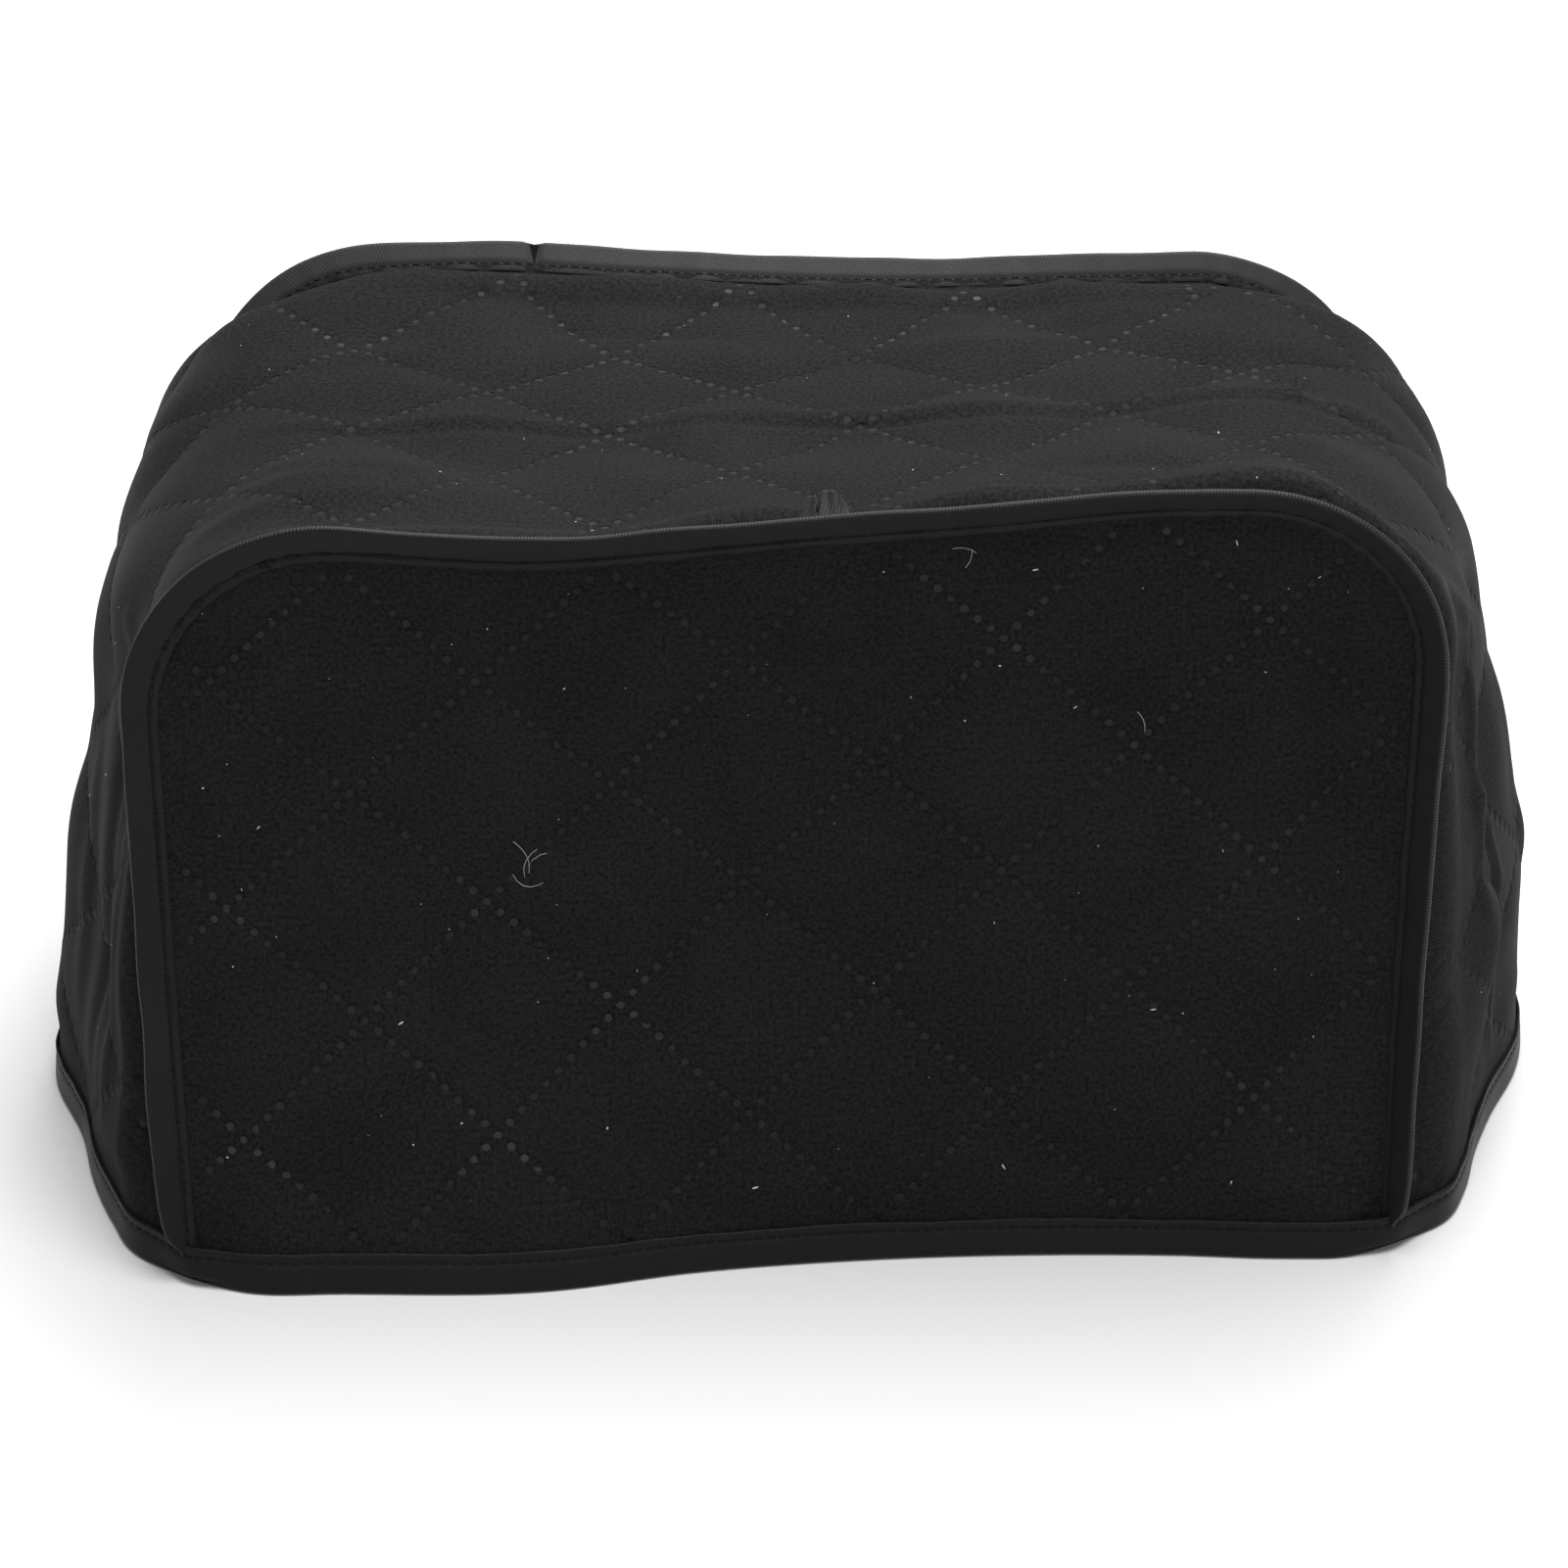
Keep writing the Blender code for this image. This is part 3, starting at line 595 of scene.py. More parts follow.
def band_surface(place, across, relief):
    """The band with its quilting, creases and turned-out edges; across is measured from the front seam."""
    at_back = across > BAND_WIDTH / 2
    inside = np.where(at_back, BAND_WIDTH - across, across)
    onward = (np.sqrt(inside**2 + TURN_SOFT**2) + inside) / 2
    outward = onward - inside
    depth = np.where(at_back, 1 - onward / BAND_WIDTH, onward / BAND_WIDTH)
    middle = band_middle(place, depth)
    along_step = SHIFT / SEAM_LENGTH
    across_step = SHIFT / BAND_WIDTH
    ahead = band_middle(np.clip(place + along_step, 0, 1), depth)
    behind = band_middle(np.clip(place - along_step, 0, 1), depth)
    far = band_middle(place, np.clip(depth + across_step, 0, 1))
    near = band_middle(place, np.clip(depth - across_step, 0, 1))
    normal = unit(np.cross(ahead - behind, far - near))
    along = (place - 0.5) * SEAM_LENGTH
    z = outline(place)[1]
    calm = ease((z - CALM_START) / QUILT_CALM) * ease(onward / EDGE_CALM)
    height = BAND_PUFF * relief * quilt_puff(*band_lattice(along, depth * BAND_WIDTH))
    height = height + creases(along, depth * BAND_WIDTH, BAND_CREASES)
    height = (height + BAND_UNEVEN * uneven(along, across, 9, 22, 75)) * calm
    point = middle + normal * height[:, None]
    for seam, here in ((seam_at(place, False), ~at_back), (seam_at(place, True), at_back)):
        aside = ALLOWANCE_MIDDLE * (1 - ease(onward / ALLOWANCE_FADE)) * ease(z / HEM_HIGH - 1)
        turned = seam.flange * (outward * seam.share)[:, None] + seam.to_band * aside[:, None]
        point = point + turned * here[:, None]
    return point


def tape_profile(t, width, lips, stitch_reach):
    """Reach from the stitch line and distance to the side for places t from -1, the panel's lip, to 1."""
    lip = np.where(t < 0, lips[0], lips[1])
    leg = np.clip((np.abs(t) - NOSE_SHARE) / (1 - NOSE_SHARE), 0, 1)
    turn = np.clip(np.abs(t) / NOSE_SHARE, 0, 1) * math.pi / 2
    straight = width - NOSE_LENGTH
    reach = straight + (lip - straight) * leg + NOSE_LENGTH * np.cos(turn)
    half = NOSE_HALF * np.sin(turn) + (LIP_HALF - NOSE_HALF) * leg
    groove = GROOVE_DEPTH * bump(reach - stitch_reach, GROOVE_HALF) * (leg > 0)
    return reach, np.sign(t) * (half - groove), leg


def over_fold(t, width):
    """Distance over the tape's surface from its fold, in millimetres."""
    nose = np.clip(np.abs(t) / NOSE_SHARE, 0, 1) * (NOSE_LENGTH + NOSE_HALF) * 0.8
    leg = np.clip((np.abs(t) - NOSE_SHARE) / (1 - NOSE_SHARE), 0, 1)
    return np.sign(t) * (nose + leg * width)


def seam_tape_surface(place, t, at_back):
    """The tape folded round a seam's allowances; t runs from the panel's lip over the fold to the band's."""
    seam = seam_at(place, at_back)
    along = (place - 0.5) * SEAM_LENGTH
    stitch_reach = BACK_STITCH_REACH if at_back else FRONT_STITCH_REACH
    width = SEAM_TAPE_WIDTH * seam.share + TAPE_WAVE * uneven(along, 0, 21 + at_back, 16, 60)
    reach, side, leg = tape_profile(t, width, (PANEL_LIP, BAND_LIP), stitch_reach)
    bend = np.abs(np.abs(along) - INNER - CORNER_ARC / 2) / (CORNER_ARC / 2)
    gather = np.sin(2 * math.pi * along / GATHER_PITCH) * ease(1.4 - bend) * leg
    ripple = uneven(along, t, 31 + at_back, 7, 24) * TAPE_RIPPLE
    side = side + np.sign(t) * GATHER_DEPTH * gather + ripple * leg
    if at_back:
        join, half_width, dent = BACK_JOIN
        reach = reach - 0.5 * dent * bump(along - join, half_width)
        side = side - np.sign(t) * dent * bump(along - join, half_width)
    return seam.line + seam.flange * reach[:, None] + seam.to_band * side[:, None]


def run_along(points):
    """The distance along a path at each of its points."""
    step = np.linalg.norm(np.diff(points, axis=0), axis=-1)
    return np.concatenate([[0.0], np.cumsum(step)])


def read_path(stations, length, values):
    """What a path's points hold, read at other distances along it."""
    return np.stack([np.interp(stations, length, column) for column in values.T], -1)


def hem_path(count):
    """The cloth's wall at the hem all round, front first, at evenly spaced stations."""
    share = np.linspace(0, 1, HEM_SAMPLES, endpoint=False)
    x = -HALF_WIDTH + 2 * HALF_WIDTH * share
    rows = []
    for z in (HEM_LOW, HEM_HIGH):
        level = np.full(HEM_SAMPLES, z)
        place = (z - HEM_LOW) / SEAM_LENGTH
        front, back = (
            np.stack([x + spread(x, level, level * 0 + at_back), panel_y(x, level, at_back), level], -1)
            for at_back in (False, True)
        )
        right, left = (band_middle(np.full(HEM_SAMPLES, here), share) for here in (1 - place, place))
        rows.append(np.concatenate([front, right, back[::-1], left[::-1], front[:1]]))
    length = run_along(rows[0])
    stations = np.linspace(0, length[-1], count, endpoint=False)
    low, high = (read_path(stations, length, row) for row in rows)
    for _ in range(HEM_SMOOTHINGS):
        low, high = (row / 2 + (np.roll(row, 1, 0) + np.roll(row, -1, 0)) / 4 for row in (low, high))
    forward = unit((np.roll(low, -1, 0) - np.roll(low, 1, 0)) * (1, 1, 0))
    out = np.cross(forward, (0.0, 0.0, 1.0))
    return HemPath(low, (high - low) / (HEM_HIGH - HEM_LOW), out, stations, length[-1])


def hem_tape_surface(around, t, path):
    """The tape folded round the hem; around goes from 0 to 1, t from the inner lip to the outer one."""
    station = np.mod(np.round(around * len(path.low)).astype(int), len(path.low))
    low, rise, out, run = (values[station] for values in path[:4])
    leg = np.clip((np.abs(t) - HEM_NOSE_SHARE) / (1 - HEM_NOSE_SHARE), 0, 1)
    turn = np.clip(np.abs(t) / HEM_NOSE_SHARE, 0, 1) * math.pi / 2
    curve = HEM_NOSE_HEIGHT * (1 - np.cos(turn) ** HEM_SQUARENESS)
    lip_wave = LIP_WAVE * uneven(run, np.sign(t), 41, 20, 70) * leg
    height = TAPE_HALF + curve + (HEM_TAPE_HEIGHT - TAPE_HALF - HEM_NOSE_HEIGHT) * leg + lip_wave
    half = HEM_HALF * np.sin(turn) ** HEM_SQUARENESS
    half = half - GROOVE_DEPTH * bump(height - HEM_STITCH_HEIGHT, GROOVE_HALF)
    half = half + TAPE_RIPPLE * uneven(run, height, 43, 8, 30) * leg
    for at_back in (False, True):
        for corner in seam_at(np.array([0.0, 1.0]), at_back).line:
            near = bump(np.hypot(*(low - corner)[:, :2].T), HEM_CORNER_REACH)
            half = half + HEM_CORNER_BULGE * near * (t > 0) * ease(height / HEM_NOSE_HEIGHT - 1)
    point = low + (height - HEM_LOW)[:, None] * rise + (np.sign(t) * half)[:, None] * out
    point[:, 2] = height
    return point


def laid_grid(columns, rows, place, uv_maps):
    """A bmesh grid whose unit square place(u, v) lays out, with its UV maps; also gives u and v."""
    mesh = bmesh.new()
    bmesh.ops.create_grid(mesh, x_segments=columns, y_segments=rows, size=0.5)
    mesh.verts.ensure_lookup_table()
    u, v = np.array([vert.co[:2] for vert in mesh.verts]).T + 0.5
    for vert, point in zip(mesh.verts, to_metres(place(u, v))):
        vert.co = point
    for name, uv_of in uv_maps.items():
        layer = mesh.loops.layers.uv.new(name)
        table = np.stack(uv_of(u, v), -1).tolist()
        for face in mesh.faces:
            for loop in face.loops:
                loop[layer].uv = table[loop.vert.index]
    return mesh, u, v


def as_template(mesh, name):
    """The mesh data of a bmesh, which is freed."""
    data = bpy.data.meshes.new(name)
    mesh.to_mesh(data)
    mesh.free()
    return data


def put_in_scene(name, data, place=(0, 0, 0), tilt=(0, 0, 0)):
    """A new object, turned by degrees about X, Y and Z."""
    thing = bpy.data.objects.new(name, data)
    thing.location = place
    thing.rotation_euler = [math.radians(angle) for angle in tilt]
    bpy.context.scene.collection.objects.link(thing)
    return thing


def finish_piece(mesh, name, material, thickness=None, nodes=()):
    """Makes a piece from a bmesh, gives it its material and thickness, and sets it on the cover's body."""
    data = as_template(mesh, name)
    data.shade_smooth()
    data.materials.append(material)
    piece = put_in_scene(name, data)
    if thickness:
        wall = piece.modifiers.new("thickness", "SOLIDIFY")
        wall.thickness = thickness
        wall.offset = 0.0
        wall.use_quality_normals = True
    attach(piece, BODY)
    if nodes:
        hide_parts(*nodes)
    return piece


def add_mask(piece, name, values):
    """A value from 0 to 1 at each point of a piece, for its material."""
    layer = piece.data.attributes.new(name, "FLOAT", "POINT")
    layer.data.foreach_set("value", np.asarray(values, np.float32))


def surface_tree(name):
    """A search tree of a finished piece's middle surface, for setting small things on it."""
    mesh = bmesh.new()
    mesh.from_mesh(bpy.data.objects[name].data)
    tree = BVHTree.FromBMesh(mesh)
    mesh.free()
    return tree


def seated(tree, point, hint, above):
    """The place above a surface's middle nearest to a point, and the way it faces there, towards hint."""
    location, normal, _, _ = tree.find_nearest(Vector(point))
    if normal.dot(Vector(hint)) < 0:
        normal = -normal
    return location + normal * above, normal


def standing_on(place, normal, forward, size):
    """The matrix that sets a small thing at a place, its Z along the normal and its X along forward."""
    up = normal.normalized()
    side = up.cross(Vector(forward)).normalized()
    ahead = side.cross(up)
    turn = Matrix((ahead, side, up)).transposed().to_4x4()
    return Matrix.Translation(place) @ turn @ Matrix.Diagonal((*size, 1.0))


def joined_copies(template, matrices):
    """One bmesh with a copy of a template mesh at each matrix."""
    joined = bmesh.new()
    for matrix in matrices:
        copy = template.copy()
        copy.transform(matrix)
        joined.from_mesh(copy)
        bpy.data.meshes.remove(copy)
    bpy.data.meshes.remove(template)
    return joined


def add_node(tree, kind, inputs=None, **settings):
    """A shader node with its settings; inputs gives each socket a value, or the output that feeds it."""
    node = tree.nodes.new(kind)
    for name, value in settings.items():
        setattr(node, name, value)
    for name, value in (inputs or {}).items():
        socket = node.inputs[name]
        if isinstance(value, bpy.types.NodeSocket):
            tree.links.new(value, socket)
        else:
            socket.default_value = value
    return node


def calculate(tree, operation, *values, clamp=False):
    """A Math node's result."""
    return add_node(
        tree, "ShaderNodeMath", dict(enumerate(values)), operation=operation, use_clamp=clamp,
    ).outputs[0]


def noise(tree, vector, scale, detail, roughness=0.5, distortion=0.0):
    """A Noise texture's value."""
    return add_node(tree, "ShaderNodeTexNoise", {
        "Vector": vector, "Scale": scale, "Detail": detail, "Roughness": roughness, "Distortion": distortion,
    }).outputs["Fac"]


def fade(tree, value, start, end, first, last):
    """Passes smoothly from first to last while a value goes from start to end."""
    return add_node(tree, "ShaderNodeMapRange", {
        "Value": value, "From Min": start, "From Max": end, "To Min": first, "To Max": last,
    }, interpolation_type="SMOOTHSTEP").outputs[0]


def uv_map(tree, name):
    return add_node(tree, "ShaderNodeUVMap", uv_map=name).outputs[0]


def mask(tree, name):
    return add_node(tree, "ShaderNodeAttribute", attribute_name=name).outputs["Fac"]


def use_group(tree, group, **inputs):
    """A node group's outputs, by name."""
    return add_node(tree, "ShaderNodeGroup", inputs, node_tree=group).outputs


def blend_colours(tree, factor, dark, light):
    """A Mix node between two colours."""
    mix = add_node(tree, "ShaderNodeMix", {0: factor}, data_type="RGBA")
    mix.inputs[6].default_value = dark
    mix.inputs[7].default_value = light
    return mix.outputs[2]


def lighter(colour, times):
    return tuple(min(1.0, part * times) for part in colour[:3]) + (1.0,)


def shared(collection, name):
    """Makes a material or a node group when it is first asked for, and afterwards gives the same one."""
    def wrap(make):
        @functools.wraps(make)
        def given():
            found = getattr(bpy.data, collection).get(name)
            return make(name) if found is None else found

        return given

    return wrap


def group_with(name, inputs, outputs):
    """A new node group, what it is given and what it gives; an input without a value is a vector."""
    group = bpy.data.node_groups.new(name, "ShaderNodeTree")
    for socket, value in inputs.items():
        kind = "NodeSocketVector" if value is None else "NodeSocketFloat"
        made = group.interface.new_socket(name=socket, in_out="INPUT", socket_type=kind)
        if value is not None:
            made.default_value = value
    for socket in outputs:
        group.interface.new_socket(name=socket, in_out="OUTPUT", socket_type="NodeSocketFloat")
    return group, add_node(group, "NodeGroupInput").outputs, add_node(group, "NodeGroupOutput").inputs


@shared("node_groups", "woven ribs")
def woven_rib_group(name):
    """Fine slanting ribs of a twill, as a height from 0 to 1, broken up where threads lie unevenly."""
    group, given, result = group_with(name, {"Vector": None, "Spacing": 0.0009, "Slant": 0.5}, ["Height"])
    turn = add_node(group, "ShaderNodeCombineXYZ", {"Z": given["Slant"]}).outputs[0]
    turned = add_node(group, "ShaderNodeMapping", {"Vector": given["Vector"], "Rotation": turn}).outputs[0]
    apart = add_node(group, "ShaderNodeSeparateXYZ", {0: turned}).outputs
    count = calculate(group, "DIVIDE", apart["X"], given["Spacing"])
    wander = noise(group, given["Vector"], 260.0, 2.0, 0.6)
    shifted = calculate(group, "ADD", count, calculate(group, "MULTIPLY", wander, 1.1))
    wave = calculate(group, "SINE", calculate(group, "MULTIPLY", shifted, 2 * math.pi))
    threads = noise(group, given["Vector"], 1500.0, 1.0)
    rib = calculate(group, "MULTIPLY_ADD", wave, 0.5, 0.5)
    broken = calculate(group, "MULTIPLY", rib, calculate(group, "ADD", threads, 0.4))
    group.links.new(broken, result["Height"])
    return group


@shared("node_groups", "brushed nap")
def nap_group(name):
    """The brushed face of the cloth: fine fuzz, and broad patches where the nap lies another way."""
    group, given, result = group_with(name, {"Vector": None}, ["Fuzz", "Patches"])
    group.links.new(noise(group, given["Vector"], 1000.0, 3.0, 0.65), result["Fuzz"])
    group.links.new(noise(group, given["Vector"], 26.0, 4.0, 0.6, 0.6), result["Patches"])
    return group


@shared("node_groups", "weld dimples")
def weld_dimple_group(name):
    """How far the cloth is pressed in at the weld dots, and a mask along the quilting lines for their painted
    shade, both read in their lattice.
    """
    group, given, result = group_with(name, {"Vector": None}, ["Dimple", "Line"])
    apart = add_node(group, "ShaderNodeSeparateXYZ", {0: given["Vector"]}).outputs
    line_space = QUILT_PITCH / math.sqrt(2)
    dot_space = line_space / DOTS_A_SIDE
    nearest, lines = [], []
    for on, along in (("X", "Y"), ("Y", "X")):
        off_line = calculate(group, "PINGPONG", apart[on], 0.5)
        off_line = calculate(group, "MULTIPLY", off_line, line_space)
        off_dot = calculate(group, "MULTIPLY", apart[along], float(DOTS_A_SIDE))
        off_dot = calculate(group, "MULTIPLY", calculate(group, "PINGPONG", off_dot, 0.5), dot_space)
        squares = [calculate(group, "POWER", off, 2.0) for off in (off_line, off_dot)]
        nearest.append(calculate(group, "SQRT", calculate(group, "ADD", *squares)))
        lines.append(off_line)
    for values, reach, socket in ((nearest, 2.1, "Dimple"), (lines, 3.0, "Line")):
        distance = calculate(group, "MINIMUM", *values)
        group.links.new(fade(group, distance, 0.3, reach, 1.0, 0.0), result[socket])
    return group


def new_material(name, roughness, sheen=0.0, specular=0.3):
    """A material with its Principled shader, whose constant values are set on its own sockets."""
    material = bpy.data.materials.new(name)
    material.use_nodes = True
    tree = material.node_tree
    shader = tree.nodes["Principled BSDF"]
    shader.inputs["Roughness"].default_value = roughness
    shader.inputs["Specular IOR Level"].default_value = specular
    shader.inputs["Sheen Weight"].default_value = sheen
    shader.inputs["Sheen Roughness"].default_value = 0.4
    return material, tree, shader


def raise_surface(tree, shader, height):
    """Feeds a height in millimetres to the shader's normal."""
    relief = add_node(tree, "ShaderNodeBump", {"Height": height, "Strength": 1.0, "Distance": MM})
    tree.links.new(relief.outputs["Normal"], shader.inputs["Normal"])


@shared("materials", "quilted cloth")
def cloth_material(name):
    """Black brushed cloth with a fine twill, pressed in round the weld dots, with painted shade along the
    quilting lines.
    """
    cloth_colour = bpy.context.scene.toaster_cover.cloth_colour
    material, tree, shader = new_material(name, 0.9, sheen=0.03, specular=0.1)
    cloth = uv_map(tree, "cloth")
    nap = use_group(tree, nap_group(), Vector=cloth)
    ribs = use_group(tree, woven_rib_group(), Vector=cloth, Spacing=0.0009, Slant=0.15)
    dimples = use_group(tree, weld_dimple_group(), Vector=uv_map(tree, "lattice"))
    patches = calculate(tree, "MULTIPLY_ADD", nap["Patches"], 0.7, -0.35)
    fuzz = calculate(tree, "MULTIPLY_ADD", nap["Fuzz"], 3.2, -1.1)
    # Painted shade: the cloth is darkened a little along the quilting lines, where their grooves lie in shade
    pressed = calculate(tree, "MULTIPLY", dimples["Line"], 0.08)
    shade = calculate(tree, "SUBTRACT", calculate(tree, "ADD", patches, fuzz), pressed, clamp=True)
    colour = blend_colours(tree, shade, lighter(cloth_colour, 0.5), lighter(cloth_colour, 2.3))
    tree.links.new(colour, shader.inputs["Base Color"])
    rib_height = calculate(tree, "MULTIPLY_ADD", mask(tree, "ribbed"), 0.22, 0.01)
    rib_height = calculate(tree, "MULTIPLY", ribs["Height"], rib_height)
    height = calculate(tree, "ADD", calculate(tree, "MULTIPLY", nap["Fuzz"], 0.16), rib_height)
    height = calculate(tree, "ADD", height, calculate(tree, "MULTIPLY", dimples["Dimple"], -0.4))
    raise_surface(tree, shader, height)
    return material


@shared("materials", "twill tape")
def tape_material(name):
    """Black twill tape, its ribs across the tape, its fold paler with a little wear and a painted highlight,
    and the back tape's lit face painted paler.
    """
    sizes = bpy.context.scene.toaster_cover
    material, tree, shader = new_material(name, 0.48, sheen=0.03, specular=0.12)
    along = uv_map(tree, "cloth")
    ribs = use_group(tree, woven_rib_group(), Vector=along, Spacing=0.0007, Slant=0.3)["Height"]
    nap = use_group(tree, nap_group(), Vector=along)
    across = add_node(tree, "ShaderNodeSeparateXYZ", {0: along}).outputs["Y"]
    # The fold is painted paler: partly wear of its threads, partly a painted highlight where the fold turns
    # towards the lamps, broken up by the ribs
    wear_and_highlight = fade(tree, calculate(tree, "ABSOLUTE", across), 0.0002, 0.0006, 0.6, 0.0)
    wear_and_highlight = calculate(tree, "MULTIPLY", wear_and_highlight, calculate(tree, "MULTIPLY_ADD", ribs, 1.4, 0.25))
    # Painted light: the back tape's face that tilts up to the overhead lamp is painted paler, its ribs
    # showing through
    painted_light = calculate(tree, "MULTIPLY_ADD", ribs, 0.5, 0.7)
    painted_light = calculate(tree, "MULTIPLY", mask(tree, "painted_light"), painted_light)
    shade = calculate(tree, "MULTIPLY", ribs, 0.12)
    shade = calculate(tree, "ADD", shade, calculate(tree, "MULTIPLY", nap["Patches"], 0.1))
    shade = calculate(tree, "ADD", shade, calculate(tree, "MAXIMUM", wear_and_highlight, painted_light), clamp=True)
    colour = blend_colours(tree, shade, tuple(sizes.tape_colour), tuple(sizes.wear_and_painted_light_colour))
    tree.links.new(colour, shader.inputs["Base Color"])
    height = calculate(tree, "MULTIPLY", ribs, 0.06)
    height = calculate(tree, "ADD", height, calculate(tree, "MULTIPLY", nap["Fuzz"], 0.04))
    raise_surface(tree, shader, height)
    return material


@shared("materials", "sewing thread")
def thread_material(name):
    """Black sewing thread with its twist."""
    thread_colour = bpy.context.scene.toaster_cover.thread_colour
    material, tree, shader = new_material(name, 0.6, specular=0.12)
    place = add_node(tree, "ShaderNodeTexCoord").outputs["Object"]
    twist = add_node(tree, "ShaderNodeTexWave", {"Vector": place, "Scale": 900.0, "Distortion": 2.0})
    colour = blend_colours(tree, twist.outputs["Fac"], tuple(thread_colour), lighter(thread_colour, 1.8))
    tree.links.new(colour, shader.inputs["Base Color"])
    return material


@shared("materials", "weld dot")
def dot_material(name):
    """Cloth pressed and melted into a small shiny dot; some are pressed harder than others."""
    sizes = bpy.context.scene.toaster_cover
    material, tree, shader = new_material(name, 0.5, specular=0.12)
    pressed = mask(tree, "pressed")
    colour = blend_colours(tree, pressed, lighter(sizes.cloth_colour, 1.6), tuple(sizes.dot_colour))
    tree.links.new(colour, shader.inputs["Base Color"])
    rough = calculate(tree, "MULTIPLY_ADD", pressed, -0.4, 0.9)
    tree.links.new(rough, shader.inputs["Roughness"])
    return material


@shared("materials", "pale lint")
def lint_material(name):
    """Pale lint, some of it greyer."""
    material, tree, shader = new_material(name, 0.8)
    place = add_node(tree, "ShaderNodeTexCoord").outputs["Object"]
    grey = noise(tree, place, 90.0, 2.0)
    colour = blend_colours(tree, grey, (0.12, 0.12, 0.12, 1.0), (0.62, 0.61, 0.58, 1.0))
    tree.links.new(colour, shader.inputs["Base Color"])
    return material


def length_setting(name, description, default):
    return bpy.props.FloatProperty(name=name, description=description, default=default, unit="LENGTH")


def colour_setting(name, description, *default):
    return bpy.props.FloatVectorProperty(
        name=name, description=description, default=(*default, 1.0), size=4, subtype="COLOR",
    )


class ToasterCoverSizes(bpy.types.PropertyGroup):
    """Sizes and colours of the cover."""

    cloth_thickness: length_setting("Cloth thickness", "Thickness of the quilted layers", 0.002)
    tape_thickness: length_setting("Tape thickness", "Thickness of the binding tape", 2 * TAPE_HALF * MM)
    quilt_relief: length_setting("Quilt relief", "Height of the cloth between quilting lines", 0.0013)
    dot_diameter: length_setting("Dot diameter", "Width of one weld dot", 0.0019)
    stitch_pitch: length_setting("Stitch pitch", "Distance from stitch to stitch", 0.003)
    stitch_length: length_setting("Stitch length", "Length of the thread that shows in a stitch", 0.0022)
    lint_count: bpy.props.IntProperty(
        name="Lint specks", description="Number of specks on each of the larger faces", default=70,
    )
    cloth_colour: colour_setting("Cloth colour", "Colour of the cloth", 0.0062, 0.0062, 0.0065)
    tape_colour: colour_setting("Tape colour", "Colour of the binding tape", 0.0045, 0.0045, 0.0048)
    # The pale tape colour: painted light on the back tape's lit face, and the fold's wear with its painted
    # highlight
    wear_and_painted_light_colour: colour_setting("Rubbed colour", "Colour of the rubbed tape", 0.036, 0.036, 0.037)
    thread_colour: colour_setting("Thread colour", "Colour of the stitches", 0.003, 0.003, 0.0032)
    dot_colour: colour_setting("Dot colour", "Colour of the hardest pressed weld dots", 0.034, 0.034, 0.035)
    floor_colour: colour_setting("Floor colour", "Colour of the floor", 0.64, 0.64, 0.64)


def make_panel(at_back):
    """A panel's cloth: a grid inside the seam, with the allowance turned out along its sewn edges."""
    sizes = bpy.context.scene.toaster_cover
    side = SIDES[at_back]
    quilting = BACK_QUILTING if at_back else FRONT_QUILTING

    def surface(u, v):
        return panel_places(at_back)(*panel_outline(u, v))

    def cloth(u, v):
        return panel_outline(u, v) * MM

    def diamonds(u, v):
        return panel_lattice(*panel_outline(u, v), quilting)

    columns = round(2 * HALF_WIDTH / CLOTH_STEP)
    rows = round(HEIGHT / CLOTH_STEP)
    mesh, u, v = laid_grid(columns, rows, surface, {"cloth": cloth, "lattice": diamonds})
    mesh.verts.index_update()
    places = {}
    for vert in mesh.verts:
        here = tuple(np.round(vert.co, 7))
        across, up = u[vert.index], v[vert.index]
        if across == 0:
            places[here] = up * GRID_CORNER
        elif across == 1:
            places[here] = 1 - up * GRID_CORNER
        elif up == 1:
            places[here] = GRID_CORNER + across * (1 - 2 * GRID_CORNER)
    sewn = [
        edge for edge in mesh.edges
        if edge.is_boundary and all(tuple(np.round(vert.co, 7)) in places for vert in edge.verts)
    ]
    turned = bmesh.ops.extrude_edge_only(mesh, edges=sewn)["geom"]
    tips = [part for part in turned if isinstance(part, bmesh.types.BMVert)]
    place = np.array([places[tuple(np.round(vert.co, 7))] for vert in tips])
    seam = seam_at(place, at_back)
    reach = (ALLOWANCE * seam.share)[:, None]
    turned_out = seam.line - ALLOWANCE_MIDDLE * seam.to_band + reach * seam.flange
    for vert, point in zip(tips, to_metres(turned_out)):
        vert.co = point
    return finish_piece(
        mesh, f"{side}_panel_cloth", cloth_material(), sizes.cloth_thickness, [f"{side}_panel"],
    )


def make_band():
    """The band's cloth from the left hem over the top to the right hem."""
    sizes = bpy.context.scene.toaster_cover
    relief = sizes.quilt_relief / MM
    whole = BAND_WIDTH + 2 * ALLOWANCE

    def along(u):
        return (u - 0.5) * SEAM_LENGTH

    def across(v):
        return v * whole - ALLOWANCE

    def surface(u, v):
        return band_surface(u, across(v), relief)

    def cloth(u, v):
        return along(u) * MM, across(v) * MM

    def diamonds(u, v):
        return band_lattice(along(u), across(v))

    columns = round(SEAM_LENGTH / CLOTH_STEP)
    rows = round(whole / CLOTH_STEP)
    mesh, u, v = laid_grid(columns, rows, surface, {"cloth": cloth, "lattice": diamonds})
    piece = finish_piece(mesh, "band_cloth", cloth_material(), sizes.cloth_thickness, ["band"])
    ribbed = 0.0
    for strength, start, end, near, far in RIBBED:
        here = between(along(u), start, end, RIBBED_SOFT) * between(across(v), near, far, RIBBED_SOFT)
        ribbed = ribbed + strength * here
    add_mask(piece, "ribbed", ribbed)
    return piece


